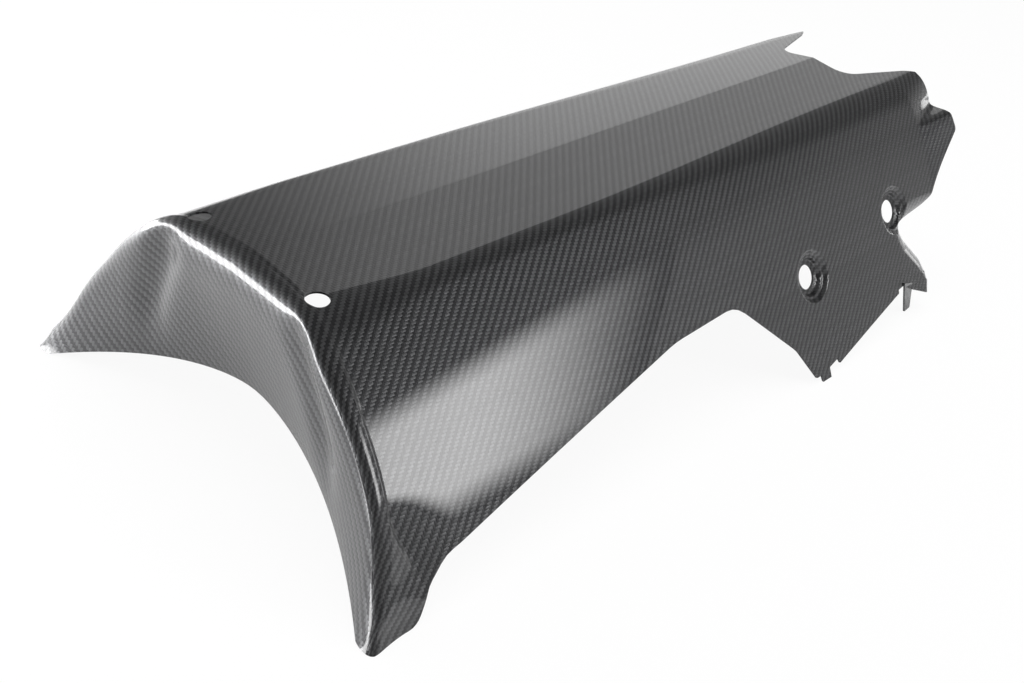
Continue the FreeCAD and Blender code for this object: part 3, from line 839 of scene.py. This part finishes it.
@dataclass
class PanShell:
    """The laminate shell: a grid laid over the skin, trimmed, drilled and given its thickness."""

    skin: PanSkin
    side: Outline
    rear: Outline
    rear_above: float = 140.0
    front_hole_x: float = 67.4
    front_hole_radius: float = 8.3
    front_hole_facets: int = 40
    seat_hole_facets: int = 48
    dish_fine_radius: float = 28.0
    roll_fine_y: float = 610.0
    roll_fine_z: float = 125.0
    roll_fine_gap: float = 17.0
    front_repeat: float = 9.2
    front_lay: float = -170.0
    front_below_row: float = -0.55
    punch_reach: float = 14.0
    punch_depth: float = 20.0
    punch_slack: float = 0.6
    punch_overlap: float = 0.05
    merge_gap: float = 0.002
    clearance: float = 0.001
    name: str = "pan_laminate"

    def stations(self) -> Array:
        """Lay out the stations across.

        Returns:
            Stations, close together over the shoulder.
        """
        return np.concatenate((
            [0.0, 0.02], np.linspace(0.06, 0.94, 14), np.linspace(1.0, 2.0, 12, endpoint=False),
            np.linspace(2.0, 2.2, 22, endpoint=False), np.linspace(2.2, 3.0, 41)))

    def rows(self) -> Array:
        """Lay out the rows along.

        Returns:
            Rows, close together over the lip, the rib and the shoulder.
        """
        return np.concatenate((
            np.linspace(-2.0, -1.0, 22, endpoint=False), np.linspace(-1.0, 0.0, 20, endpoint=False),
            np.linspace(0.0, 40.0, 16, endpoint=False), np.linspace(40.0, 690.0, 104, endpoint=False),
            np.linspace(690.0, 799.0, 50)))

    def build(self) -> bpy.types.Object:
        """Make the whole shell.

        Returns:
            The shell as one mesh object.
        """
        bm = bmesh.new()
        layers = self.lay_grid(bm)
        self.place_dishes()
        self.refine(bm)
        self.settle(bm, layers)
        OutlineCutter(bm, View.SIDE).trim(self.side.points(), keep_inside=True)
        OutlineCutter(bm, View.TOP, self.rear_above).trim(self.rear.points(), keep_inside=False)
        self.drill(bm)
        self.settle(bm, layers)
        self.drop_loose(bm)
        self.mirror(bm, layers)
        obj = self.thicken(bm, layers)
        log.info("%s has %d faces", obj.name, len(obj.data.polygons))
        return obj

    def lay_grid(self, bm: Mesh) -> Layers:
        """Lay a flat grid and note each vertex's station, row and place in the cloth.

        Args:
            bm: Mesh to fill.

        Returns:
            The vertex layers by name.
        """
        stations, rows = self.stations(), self.rows()
        layers = {name: bm.verts.layers.float.new(name) for name in ("across", "along", "weft", "warp")}
        bmesh.ops.create_grid(bm, x_segments=len(stations) - 1, y_segments=len(rows) - 1, size=1.0)
        q, v = np.meshgrid(stations, rows, indexing="ij")
        plain = self.skin.point(q, v, True)
        weft = np.zeros(q.shape)
        weft[1:] = np.cumsum(np.linalg.norm(np.diff(plain, axis=0), axis=-1), axis=0)
        warp = np.zeros(q.shape)
        warp[:, 1:] = np.cumsum(np.linalg.norm(np.diff(plain, axis=1), axis=-1), axis=1)
        first = int(np.argmin(np.abs(rows)))
        warp += (plain[:, first, 1] - warp[:, first])[:, None]
        for vert in bm.verts:
            i = round((vert.co.x + 1) / 2 * (len(stations) - 1))
            j = round((vert.co.y + 1) / 2 * (len(rows) - 1))
            values = (stations[i], rows[j], weft[i, j], warp[i, j])
            for layer, value in zip(layers.values(), values):
                vert[layer] = value
            vert.co = plain[i, j]
        return layers

    def place_dishes(self) -> None:
        """Set each dish square to the wall at its own height."""
        for dish in self.skin.dishes:
            q = self.skin.station_where(dish.centre_y, 2.0, 3.0, lambda place: place[2] > dish.centre_z)
            dish.place, dish.axis = self.skin.spot(dish.centre_y, q, True)

    def refine(self, bm: Mesh) -> None:
        """Divide the grid round the dishes and along the curled edge.

        Args:
            bm: Mesh to divide.
        """
        picked = set()
        for face in bm.faces:
            centre = np.array(face.calc_center_median())
            if any(np.linalg.norm(centre - dish.place) < self.dish_fine_radius for dish in self.skin.dishes):
                picked.add(face)
            if centre[1] > self.roll_fine_y and centre[2] < self.roll_fine_z:
                if self.skin.roll.nearest(centre[1:2], centre[2:3])[0][0] < self.roll_fine_gap:
                    picked.add(face)
        edges = list({edge for face in picked for edge in face.edges})
        bmesh.ops.subdivide_edges(bm, edges=edges, cuts=3, use_grid_fill=True)

    def read(self, verts: Sequence[bmesh.types.BMVert], layer: bmesh.types.BMLayerItem) -> Array:
        """Read one vertex layer as an array."""
        return np.array([vert[layer] for vert in verts])

    def settle(self, bm: Mesh, layers: Layers) -> None:
        """Put every vertex exactly on the skin at its station and row.

        Args:
            bm: Mesh to settle.
            layers: Vertex layers with stations and rows.
        """
        verts = list(bm.verts)
        points = self.skin.point(self.read(verts, layers["across"]), self.read(verts, layers["along"]))
        for vert, point in zip(verts, points):
            vert.co = point

    def drill(self, bm: Mesh) -> None:
        """Cut the round holes square to the skin.

        Args:
            bm: Mesh to cut.
        """
        q = self.skin.station_where(0.0, 0.5, 2.0, lambda place: place[0] < self.front_hole_x)
        holes = [(*self.skin.spot(0.0, q, False), self.front_hole_radius, self.front_hole_facets)]
        for dish in self.skin.dishes:
            holes.append((dish.place, dish.axis, dish.hole_radius, self.seat_hole_facets))
        for place, direction, radius, count in holes:
            self.punch(bm, Vector(place), Vector(direction).normalized(), radius, count)

    def punch(self, bm: Mesh, place: Vector, axis: Vector, radius: float, count: int) -> None:
        """Cut one round hole.

        Args:
            bm: Mesh to cut.
            place: Middle of the hole.
            axis: Direction of the hole.
            radius: Its radius.
            count: How many straight cuts make the circle.
        """
        across = axis.orthogonal().normalized()
        up = axis.cross(across)
        reach = radius / math.cos(math.pi / count)
        half = reach * math.sin(math.pi / count) + self.punch_overlap
        for index in range(count):
            angle = 2 * math.pi * (index + 0.5) / count
            direction = across * math.cos(angle) + up * math.sin(angle)
            side = up * math.cos(angle) - across * math.sin(angle)
            picked = []
            for face in bm.faces:
                if (face.calc_center_median() - place).length > radius + self.punch_reach:
                    continue
                outs = [(vert.co - place).dot(direction) for vert in face.verts]
                alongs = [(vert.co - place).dot(side) for vert in face.verts]
                crossed = min(outs) <= reach and max(outs) >= radius - self.punch_slack
                if crossed and min(alongs) <= half and max(alongs) >= -half:
                    picked.append(face)
            bmesh.ops.bisect_plane(bm, geom=with_edges(picked), dist=CUT_DISTANCE,
                                   plane_co=place + direction * radius, plane_no=direction)
        gone = []
        for face in bm.faces:
            off = face.calc_center_median() - place
            high = off.dot(axis)
            if abs(high) < self.punch_depth and (off - axis * high).length < radius:
                gone.append(face)
        bmesh.ops.delete(bm, geom=gone, context="FACES")

    def drop_loose(self, bm: Mesh) -> None:
        """Remove edges and points that carry no face."""
        bmesh.ops.delete(bm, geom=[edge for edge in bm.edges if not edge.link_faces], context="EDGES")
        bmesh.ops.delete(bm, geom=[vert for vert in bm.verts if not vert.link_faces], context="VERTS")

    def mirror(self, bm: Mesh, layers: Layers) -> None:
        """Copy the near half to the far side and give it negative stations.

        Args:
            bm: Mesh of the near half.
            layers: Vertex layers with stations and cloth places.
        """
        bmesh.ops.mirror(bm, geom=list(bm.verts) + list(bm.edges) + list(bm.faces),
                         matrix=Matrix.Identity(4), merge_dist=self.merge_gap, axis="X")
        for vert in bm.verts:
            if vert.co.x < -1e-4:
                for name in ("across", "weft"):
                    vert[layers[name]] = -abs(vert[layers[name]])
        bmesh.ops.recalc_face_normals(bm, faces=list(bm.faces))
        top = max(bm.faces, key=lambda face: face.calc_center_median().z)
        if top.normal.z < 0:
            bmesh.ops.reverse_faces(bm, faces=list(bm.faces))

    def thicken(self, bm: Mesh, layers: Layers) -> bpy.types.Object:
        """Give the sheet its thickness, its cloth coordinates and exact normals.

        Args:
            bm: The finished outer sheet.
            layers: Vertex layers with stations, rows and cloth places.

        Returns:
            The shell object.
        """
        first = set(bm.verts)
        bmesh.ops.solidify(bm, geom=list(bm.faces), thickness=self.skin.laminate)
        bm.verts.ensure_lookup_table()
        bm.verts.index_update()
        verts = list(bm.verts)
        q, v = self.read(verts, layers["across"]), self.read(verts, layers["along"])
        skin_points, normals = self.skin.point(q, v), self.skin.normal(q, v)
        outer = self.outer_verts(bm, np.array([vert in first for vert in verts]), normals)
        low, high = (np.array(corner) / MILLIMETRE for corner in CAD_BOX)
        low = low + (self.clearance, MIDDLE_Y + self.clearance, 0.0)
        high = high + (-self.clearance, MIDDLE_Y - self.clearance, -self.clearance)
        sunk = np.where(outer, 0.0, self.skin.laminate)[:, None]
        for vert, place in zip(verts, np.clip(skin_points - normals * sunk, low, high)):
            vert.co = place
        split_normals = self.map_cloth(bm, layers, outer, normals)
        to_frame(bm)
        obj = mesh_object(self.name, bm)
        obj.data.normals_split_custom_set(split_normals)
        return obj

    def outer_verts(self, bm: Mesh, original: Array, normals: Array) -> Array:
        """Tell which vertices lie on the outer sheet.

        Args:
            bm: The thickened mesh.
            original: True for each vertex that was there before.
            normals: Outward direction of the skin at each vertex.

        Returns:
            True for each vertex of the outer sheet.
        """
        sheet = [face for face in bm.faces if all(original[vert.index] for vert in face.verts)]
        agree = sum(face.normal.dot(Vector(normals[face.verts[0].index])) > 0 for face in sheet)
        return original if agree > len(sheet) / 2 else ~original

    def map_cloth(self, bm: Mesh, layers: Layers, outer: Array,
                  normals: Array) -> list[tuple[float, ...]]:
        """Give each face its finish and its place in the cloth, which lies flat over the front wall.

        Args:
            bm: The thickened mesh.
            layers: Vertex layers with rows and cloth places.
            outer: True for each vertex of the outer sheet.
            normals: Outward direction of the skin at each vertex.

        Returns:
            The normal of each corner of each face, in order.
        """
        uv = bm.loops.layers.uv.new(CLOTH_MAP)
        repeat = TOWS_PER_REPEAT * TOW_MM
        split_normals = []
        for face in bm.faces:
            kinds = [bool(outer[vert.index]) for vert in face.verts]
            part = Sheet.OUTER if all(kinds) else Sheet.RIM if any(kinds) else Sheet.INNER
            face.smooth = True
            face.normal_update()
            face.material_index = part.value
            row = sum(vert[layers["along"]] for vert in face.verts) / len(face.verts)
            for loop in face.loops:
                vert = loop.vert
                if row < self.front_below_row:
                    across, up = vert.co.x, vert.co.z + self.front_lay
                    loop[uv].uv = (across / self.front_repeat, up / self.front_repeat)
                else:
                    loop[uv].uv = (vert[layers["weft"]] / repeat, vert[layers["warp"]] / repeat)
                if part is Sheet.RIM:
                    split_normals.append(tuple(face.normal))
                else:
                    split_normals.append(tuple(normals[vert.index] * (1 if part is Sheet.OUTER else -1)))
        return split_normals


@dataclass
class HangerTongues:
    """Flat tongues that hang from the wall behind the sill, one on each side."""

    outline: Outline
    plane_x: float = 176.5
    thick: float = 2.0
    edge_bevel: float = 0.4
    sharp_deg: float = 60.0

    def build(self) -> list[bpy.types.Object]:
        """Make both tongues, the near one first."""
        return [self.tongue("hanger_tongue_near", self.plane_x),
                self.tongue("hanger_tongue_far", -self.plane_x - self.thick)]

    def tongue(self, name: str, plane_x: float) -> bpy.types.Object:
        """Make one flat tongue with softened edges.

        Args:
            name: Name of the piece.
            plane_x: Where its first face stands.

        Returns:
            The tongue object.
        """
        bm = bmesh.new()
        face = bm.faces.new([bm.verts.new((plane_x, along, up)) for along, up in self.outline.points()])
        moved = bmesh.ops.extrude_face_region(bm, geom=[face], use_keep_orig=True)
        lifted = [item for item in moved["geom"] if isinstance(item, bmesh.types.BMVert)]
        bmesh.ops.translate(bm, vec=(self.thick, 0, 0), verts=lifted)
        bmesh.ops.recalc_face_normals(bm, faces=list(bm.faces))
        rims = [edge for edge in bm.edges if edge.calc_face_angle(0.0) > math.radians(self.sharp_deg)]
        bmesh.ops.bevel(bm, geom=rims, offset=self.edge_bevel, affect="EDGES", segments=2, profile=0.5,
                        material=-1, offset_type="OFFSET", clamp_overlap=True)
        uv = bm.loops.layers.uv.new(CLOTH_MAP)
        repeat = TOWS_PER_REPEAT * TOW_MM
        for face in bm.faces:
            for corner in face.loops:
                corner[uv].uv = (corner.vert.co.z / repeat, corner.vert.co.y / repeat)
        to_frame(bm)
        return mesh_object(name, bm)


@dataclass
class NodeBench:
    """Short hand for adding linked nodes to one tree."""

    tree: bpy.types.NodeTree

    def add(self, kind: str, inputs: dict | None = None, **options: object) -> bpy.types.Node:
        """Add a node, set its options and fill its inputs.

        Args:
            kind: Type name of the node.
            inputs: What goes into its inputs, by name or number.
            **options: Options of the node.

        Returns:
            The node.
        """
        node = self.tree.nodes.new(kind)
        for name, value in options.items():
            setattr(node, name, value)
        for key, value in (inputs or {}).items():
            self.fill(node.inputs[key], value)
        return node

    def fill(self, socket: Socket, value: object) -> None:
        """Link a socket to another or give it a value.

        Args:
            socket: Input to fill.
            value: Another node's output, or a plain value.
        """
        if isinstance(value, Socket):
            self.tree.links.new(value, socket)
        else:
            socket.default_value = value

    def maths(self, kind: str, *values: object) -> Socket:
        """Add one step of arithmetic and return its result."""
        return self.add("ShaderNodeMath", dict(enumerate(values)), operation=kind).outputs[0]

    def blended(self, share: object, low: object, high: object) -> Socket:
        """Mix two numbers by a share and return the result."""
        return self.add("ShaderNodeMix", {0: share, 2: low, 3: high}, data_type="FLOAT").outputs[0]

    def tinted(self, share: object, low: object, high: object, blend: str = "MIX") -> Socket:
        """Mix two colours by a share and return the result."""
        mix = self.add("ShaderNodeMix", {0: share, 6: low, 7: high}, data_type="RGBA", blend_type=blend)
        return mix.outputs[2]

    def eased(self, value: Socket, spans: dict[str, float]) -> Socket:
        """Map a value by a smooth step between the named ends and return the result."""
        step = self.add("ShaderNodeMapRange", {**spans, "Value": value}, interpolation_type="SMOOTHSTEP")
        return step.outputs[0]


@dataclass(frozen=True)
class TwillCloth:
    """Balanced two by two twill of flat tows, seen through resin; the warp tows' lighter colour is painted
    sheen.
    """

    # Warp lighter than weft: painted sheen for the fibres' directional reflection, the same whatever the
    # light; both tows are near-black carbon.
    warp_sheen_colour: tuple[float, float, float] = (0.086, 0.087, 0.090)
    weft_colour: tuple[float, float, float] = (0.030, 0.030, 0.032)
    resin_colour: tuple[float, float, float] = (0.004, 0.004, 0.004)
    roughness: float = 0.42
    metallic: float = 0.75
    bulge_mm: float = 0.22
    bulge_strength: float = 0.8
    arch_drop: float = 0.55
    tone_spread: float = 0.30
    tone_low: float = 0.85
    gap_gain: float = 2.2
    gap_blend: float = 0.1

    def group(self) -> bpy.types.NodeTree:
        """Make or find the node group with the cloth's pattern.

        Returns:
            A tree that gives which tow is on top, its height, its tone and the gaps beside it.
        """
        tree = bpy.data.node_groups.get("TwillCloth")
        if tree is not None:
            return tree
        tree = bpy.data.node_groups.new("TwillCloth", "ShaderNodeTree")
        tree.interface.new_socket("Cloth", in_out="INPUT", socket_type="NodeSocketVector")
        for name in ("Warp", "Height", "Tone", "Gap"):
            tree.interface.new_socket(name, in_out="OUTPUT", socket_type="NodeSocketFloat")
        over = TOWS_PER_REPEAT / 2
        bench = NodeBench(tree)
        start = bench.add("NodeGroupInput")
        split = bench.add("ShaderNodeSeparateXYZ", {0: start.outputs["Cloth"]})
        across = bench.maths("MULTIPLY", split.outputs[0], float(TOWS_PER_REPEAT))
        along = bench.maths("MULTIPLY", split.outputs[1], float(TOWS_PER_REPEAT))
        tow_u, tow_v = bench.maths("FLOOR", across), bench.maths("FLOOR", along)
        part_u, part_v = bench.maths("FRACT", across), bench.maths("FRACT", along)
        count = bench.maths("ADD", bench.maths("ADD", tow_u, tow_v), 0.5)
        phase = bench.maths("FLOOR", bench.maths("FLOORED_MODULO", count, float(TOWS_PER_REPEAT)))
        warp = bench.maths("LESS_THAN", phase, over - 0.5)
        width = bench.blended(warp, part_v, part_u)
        float_warp = bench.maths("MULTIPLY", bench.maths("ADD", part_v, phase), 1 / over)
        late = bench.maths("SUBTRACT", phase, over)
        float_weft = bench.maths("MULTIPLY", bench.maths("ADD", part_u, late), 1 / over)
        run = bench.blended(warp, float_weft, float_warp)
        off_width = bench.maths("SUBTRACT", bench.maths("MULTIPLY", width, 2.0), 1.0)
        off_run = bench.maths("SUBTRACT", bench.maths("MULTIPLY", run, 2.0), 1.0)
        round_tow = bench.maths("SUBTRACT", 1.0, bench.maths("POWER", off_width, 2.0))
        crown = bench.maths("SQRT", bench.maths("MAXIMUM", round_tow, 0.0))
        drop = bench.maths("MULTIPLY", bench.maths("POWER", off_run, 2.0), self.arch_drop)
        height = bench.maths("MULTIPLY", crown, bench.maths("SUBTRACT", 1.0, drop))
        tow = bench.add("ShaderNodeCombineXYZ", {0: bench.blended(warp, tow_v, tow_u), 1: warp})
        noise = bench.add("ShaderNodeTexWhiteNoise", noise_dimensions="2D")
        bench.fill(noise.inputs["Vector"], tow.outputs[0])
        tone = bench.maths("MULTIPLY_ADD", noise.outputs["Value"], self.tone_spread, self.tone_low)
        lifted = bench.maths("MULTIPLY", height, self.gap_gain)
        filled = bench.maths("SMOOTH_MIN", lifted, 1.0, self.gap_blend)
        gap = bench.maths("SUBTRACT", 1.0, filled)
        bench.add("NodeGroupOutput", {"Warp": warp, "Height": height, "Tone": tone, "Gap": gap})
        return tree


@dataclass(frozen=True)
class ClearCoatedLaminate:
    """Woven laminate under a clear glossy coat, or its plainer inside."""

    name: str
    cloth: TwillCloth = TwillCloth()
    coat: float = 1.0
    coat_roughness: float = 0.03
    coat_ior: float = 1.5

    def material(self) -> bpy.types.Material:
        """Make or find the node material.

        Returns:
            The material, with the cloth in its colour and bump, and the coat over it.
        """
        found = bpy.data.materials.get(self.name)
        if found is not None:
            return found
        cloth = self.cloth
        material = bpy.data.materials.new(self.name)
        material.use_nodes = True
        bench = NodeBench(material.node_tree)
        shader = material.node_tree.nodes["Principled BSDF"]
        place = bench.add("ShaderNodeUVMap", uv_map=CLOTH_MAP)
        weave = bench.add("ShaderNodeGroup", node_tree=cloth.group())
        bench.fill(weave.inputs["Cloth"], place.outputs[0])
        # Warp tows take the lighter colour as painted sheen; the weft keeps the plain dark carbon colour.
        sheen_tint = bench.tinted(weave.outputs["Warp"], (*cloth.weft_colour, 1), (*cloth.warp_sheen_colour, 1))
        toned = bench.tinted(1.0, sheen_tint, weave.outputs["Tone"], blend="MULTIPLY")
        dark = bench.tinted(weave.outputs["Gap"], toned, (*cloth.resin_colour, 1))
        bump = bench.add("ShaderNodeBump", {
            "Strength": cloth.bulge_strength, "Distance": cloth.bulge_mm * MILLIMETRE,
            "Height": weave.outputs["Height"]})
        for name, value in (
                ("Base Color", dark), ("Normal", bump.outputs[0]), ("Metallic", cloth.metallic),
                ("Roughness", cloth.roughness), ("Coat Weight", self.coat),
                ("Coat Roughness", self.coat_roughness), ("Coat IOR", self.coat_ior)):
            bench.fill(shader.inputs[name], value)
        return material


@dataclass(frozen=True)
class Card:
    """Glowing card that shows in the clear coat, fading toward its edges, in metres.

    Strength is the glow of its middle, where 1 is white. Fade is the share of the width and of the height
    that each edge takes to fade.
    """

    name: str
    place: tuple[float, float, float]
    target: tuple[float, float, float]
    size: tuple[float, float]
    strength: float
    fade: tuple[float, float]
    roll_deg: float = 0.0

    def build(self) -> None:
        """Make the card, unseen by the camera and casting no shadow."""
        bm = bmesh.new()
        bmesh.ops.create_grid(bm, x_segments=1, y_segments=1, size=0.5)
        spread = bm.loops.layers.uv.new("card")
        for face in bm.faces:
            for loop in face.loops:
                loop[spread].uv = (loop.vert.co.x + 0.5, loop.vert.co.y + 0.5)
        aim = (Vector(self.target) - Vector(self.place)).to_track_quat("-Z", "Y").to_matrix().to_4x4()
        roll = Matrix.Rotation(math.radians(self.roll_deg), 4, "Z")
        scale = Matrix.Diagonal((*self.size, 1.0, 1.0))
        bmesh.ops.transform(bm, matrix=Matrix.Translation(self.place) @ aim @ roll @ scale, verts=bm.verts)
        obj = mesh_object(self.name, bm)
        obj.data.materials.append(self.material())
        obj.visible_camera = False
        obj.visible_shadow = False

    def material(self) -> bpy.types.Material:
        """Make the glow.

        Returns:
            The material, brightest in the card's middle.
        """
        material = bpy.data.materials.new(self.name)
        material.use_nodes = True
        nodes = material.node_tree.nodes
        nodes.remove(nodes["Principled BSDF"])
        bench = NodeBench(material.node_tree)
        spot = bench.add("ShaderNodeUVMap", uv_map="card")
        split = bench.add("ShaderNodeSeparateXYZ", {0: spot.outputs[0]})
        shares = []
        for axis, share in enumerate(self.fade):
            middle = bench.maths("PINGPONG", split.outputs[axis], 0.5)
            shares.append(bench.eased(middle, {"From Max": share}))
        level = bench.maths("MULTIPLY", bench.maths("MULTIPLY", *shares), self.strength)
        glow = bench.add("ShaderNodeEmission", {"Strength": level})
        bench.fill(nodes["Material Output"].inputs["Surface"], glow.outputs[0])
        return material


@dataclass
class Studio:
    """White floor, soft lamp, cards and the camera at the photograph's angle."""

    eye: tuple[float, float, float] = (0.58905, -0.753716, 0.54585)
    right: tuple[float, float, float] = (0.6962207, 0.7074154, 0.1218205)
    down: tuple[float, float, float] = (0.4463539, -0.2937297, -0.8452758)
    forward: tuple[float, float, float] = (-0.5621788, 0.6428735, -0.5202583)
    focal_px: float = 1200.0
    image_px: float = 1024.0
    sensor_mm: float = 36.0
    clip: tuple[float, float] = (0.01, 50.0)
    floor_half: float = 14.0
    floor_colour: tuple[float, float, float] = (0.93, 0.93, 0.935)
    floor_roughness: float = 0.6
    floor_specular: float = 0.2
    floor_glow: float = 0.93
    mirror_share: float = 0.3
    zenith: float = 0.14
    horizon: float = 0.34
    horizon_span: tuple[float, float] = (0.30, 0.52)
    overhead_place: tuple[float, float, float] = (0.0, 0.2, 2.4)
    overhead_size: float = 2.2
    overhead_watts: float = 50
    cards: tuple[Card, ...] = (
        Card("back_card", (-2.50, 4.14, 1.86), (1.12, 2.45, 1.86), (6.6, 3.6), 0.85, (0.3, 0.01)),
        Card("side_card", (1.80, 0.98, 1.04), (0.2, -0.2, 0.10), (1.35, 0.80), 9.0, (0.45, 0.25), -24.0),
        Card("rear_card", (-0.1, 3.0, -0.02), (-0.05, 0.3, -0.02), (2.5, 0.8), 2.6, (0.2, 0.2)),
        Card("front_card", (-0.80, -1.05, 0.20), (0.0, -0.37, 0.75), (2.8, 0.62), 12.0, (0.2, 0.25)))

    def build(self) -> None:
        """Make floor, world, lamp, cards and camera."""
        self.floor()
        self.world()
        self.overhead()
        for card in self.cards:
            card.build()
        self.camera()

    def floor(self) -> None:
        """Pale floor under the pan, which shows white but keeps the pan's shadow."""
        bm = bmesh.new()
        bmesh.ops.create_grid(bm, x_segments=1, y_segments=1, size=self.floor_half)
        obj = mesh_object("studio_floor", bm)
        material = bpy.data.materials.new("pale_floor")
        material.use_nodes = True
        nodes = material.node_tree.nodes
        bench = NodeBench(material.node_tree)
        shader = nodes["Principled BSDF"]
        bench.fill(shader.inputs["Base Color"], (*self.floor_colour, 1))
        bench.fill(shader.inputs["Roughness"], self.floor_roughness)
        bench.fill(shader.inputs["Specular IOR Level"], self.floor_specular)
        glow = bench.add("ShaderNodeEmission", {"Strength": 1.0})
        path = bench.add("ShaderNodeLightPath")
        seen = bench.maths("MAXIMUM", path.outputs["Is Camera Ray"], path.outputs["Is Transmission Ray"])
        glossy = bench.maths("MULTIPLY", path.outputs["Is Glossy Ray"], self.mirror_share)
        share = bench.maths("MULTIPLY", bench.maths("MAXIMUM", seen, glossy), self.floor_glow)
        mixed = bench.add("ShaderNodeMixShader", {0: share, 1: shader.outputs[0], 2: glow.outputs[0]})
        bench.fill(nodes["Material Output"].inputs["Surface"], mixed.outputs[0])
        obj.data.materials.append(material)

    def world(self) -> None:
        """White background for camera rays, plain fill for the rest, darker overhead."""
        world = bpy.data.worlds.new("studio")
        bpy.context.scene.world = world
        world.use_nodes = True
        bench = NodeBench(world.node_tree)
        back = world.node_tree.nodes["Background"]
        direction = bench.add("ShaderNodeTexCoord")
        split = bench.add("ShaderNodeSeparateXYZ", {0: direction.outputs["Generated"]})
        fade = bench.eased(split.outputs[2], {
            "From Min": self.horizon_span[0], "From Max": self.horizon_span[1],
            "To Min": self.horizon, "To Max": self.zenith})
        path = bench.add("ShaderNodeLightPath")
        bench.fill(back.inputs["Strength"], bench.blended(path.outputs["Is Camera Ray"], fade, 1.0))
        bench.fill(back.inputs["Color"], (1, 1, 1, 1))

    def overhead(self) -> None:
        """Soft square lamp overhead for the plain level."""
        data = bpy.data.lights.new("overhead", "AREA")
        data.shape = "RECTANGLE"
        data.size = data.size_y = self.overhead_size
        data.energy = self.overhead_watts
        obj = bpy.data.objects.new("overhead", data)
        bpy.context.scene.collection.objects.link(obj)
        obj.location = self.overhead_place
        obj.rotation_euler = (-Vector(self.overhead_place)).to_track_quat("-Z", "Y").to_euler()
        obj.visible_camera = False
        obj.visible_glossy = False

    def camera(self) -> None:
        """Camera fitted to the photograph."""
        data = bpy.data.cameras.new("camera")
        data.sensor_width = self.sensor_mm
        data.lens = self.focal_px / self.image_px * self.sensor_mm
        data.clip_start, data.clip_end = self.clip
        obj = bpy.data.objects.new("camera", data)
        bpy.context.scene.collection.objects.link(obj)
        turn = Matrix((self.right, [-c for c in self.down], [-c for c in self.forward])).transposed()
        obj.matrix_world = Matrix.Translation(self.eye) @ turn.to_4x4()
        bpy.context.scene.camera = obj


@dataclass
class BellyPan:
    """The whole part: shell, tongues and their finishes."""

    side_corners: tuple[Corner, ...] = (
        Corner(-120.0, 250.0), Corner(-120.0, 0.0), Corner(-20.0, 0.0, 13.0), Corner(-6.0, 20.0, 24.0),
        Corner(12.0, 32.2, 30.0), Corner(275.5, 80.4, 140.0), Corner(358.0, 85.0, 38.0),
        Corner(427.0, 32.8, 24.0), Corner(447.3, 5.3, 3.0), Corner(455.0, 5.3), Corner(455.5, 0.0),
        Corner(469.5, 0.0), Corner(470.0, 7.5, 1.0), Corner(485.4, 10.3, 1.0), Corner(487.5, 6.0, 1.0),
        Corner(609.7, 31.3), Corner(609.9, 34.2), Corner(619.6, 35.3, 3.0), Corner(634.1, 29.0, 20.0),
        Corner(664.0, 18.5, 2.0), Corner(675.0, 31.0, 8.0), Corner(668.0, 49.0, 10.0),
        Corner(644.0, 75.0, 12.0), Corner(637.5, 85.0, 6.0), Corner(682.0, 91.5, 30.0),
        Corner(696.5, 97.5, 16.0), Corner(750.5, 152.0, 5.0), Corner(743.0, 200.0), Corner(743.0, 250.0))
    rear_corners: tuple[Corner, ...] = (
        Corner(-86.0, 800.0), Corner(-70.5, 749.0), Corner(-61.0, 731.0, 25.0), Corner(-38.0, 656.5, 22.0),
        Corner(38.0, 656.5, 22.0), Corner(61.0, 731.0, 25.0), Corner(70.5, 749.0), Corner(86.0, 800.0))
    tongue_corners: tuple[Corner, ...] = (
        Corner(619.0, 38.5), Corner(640.5, 0.0, 1.0), Corner(649.5, 2.5, 1.0), Corner(637.0, 34.5))
    roll_line: tuple[tuple[float, float, float], ...] = (
        (664.0, 18.5, 3.0), (672.5, 27.0, 10.0), (674.5, 38.0, 17.0), (670.0, 50.5, 21.0),
        (657.0, 63.0, 22.0), (646.0, 73.0, 22.0), (640.0, 80.5, 20.0), (641.5, 85.5, 18.0),
        (657.0, 87.9, 17.0), (682.0, 91.5, 14.0), (697.0, 95.5, 8.0), (708.0, 98.0, 2.0))
    seats: tuple[tuple[float, float], ...] = ((473.0, 79.0), (625.0, 100.0))

    def build(self) -> None:
        """Make every piece and bind it to the frame."""
        skin = PanSkin(dishes=[Dish(*seat) for seat in self.seats], roll=RolledEdge(self.roll_line))
        shell = PanShell(skin, Outline(self.side_corners), Outline(self.rear_corners)).build()
        finishes = {
            Sheet.OUTER: ClearCoatedLaminate("coated_twill"),
            Sheet.INNER: ClearCoatedLaminate("bare_twill_inside", coat=0.15, coat_roughness=0.35),
            Sheet.RIM: ClearCoatedLaminate("trimmed_edge", coat=0.4, coat_roughness=0.2)}
        for part in Sheet:
            shell.data.materials.append(finishes[part].material())
        pieces = [shell]
        for tongue in HangerTongues(Outline(self.tongue_corners)).build():
            tongue.data.materials.append(finishes[Sheet.OUTER].material())
            pieces.append(tongue)
        for piece in pieces:
            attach(piece, "root")
            log.info("%s rides on root", piece.name)
        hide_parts("belly_pan_shell")


def main() -> None:
    """Build the part and the studio."""
    logging.basicConfig(level=logging.INFO)
    bpy.context.scene.view_settings.view_transform = "Standard"
    BellyPan().build()
    Studio().build()


if __name__ == "__main__":
    main()
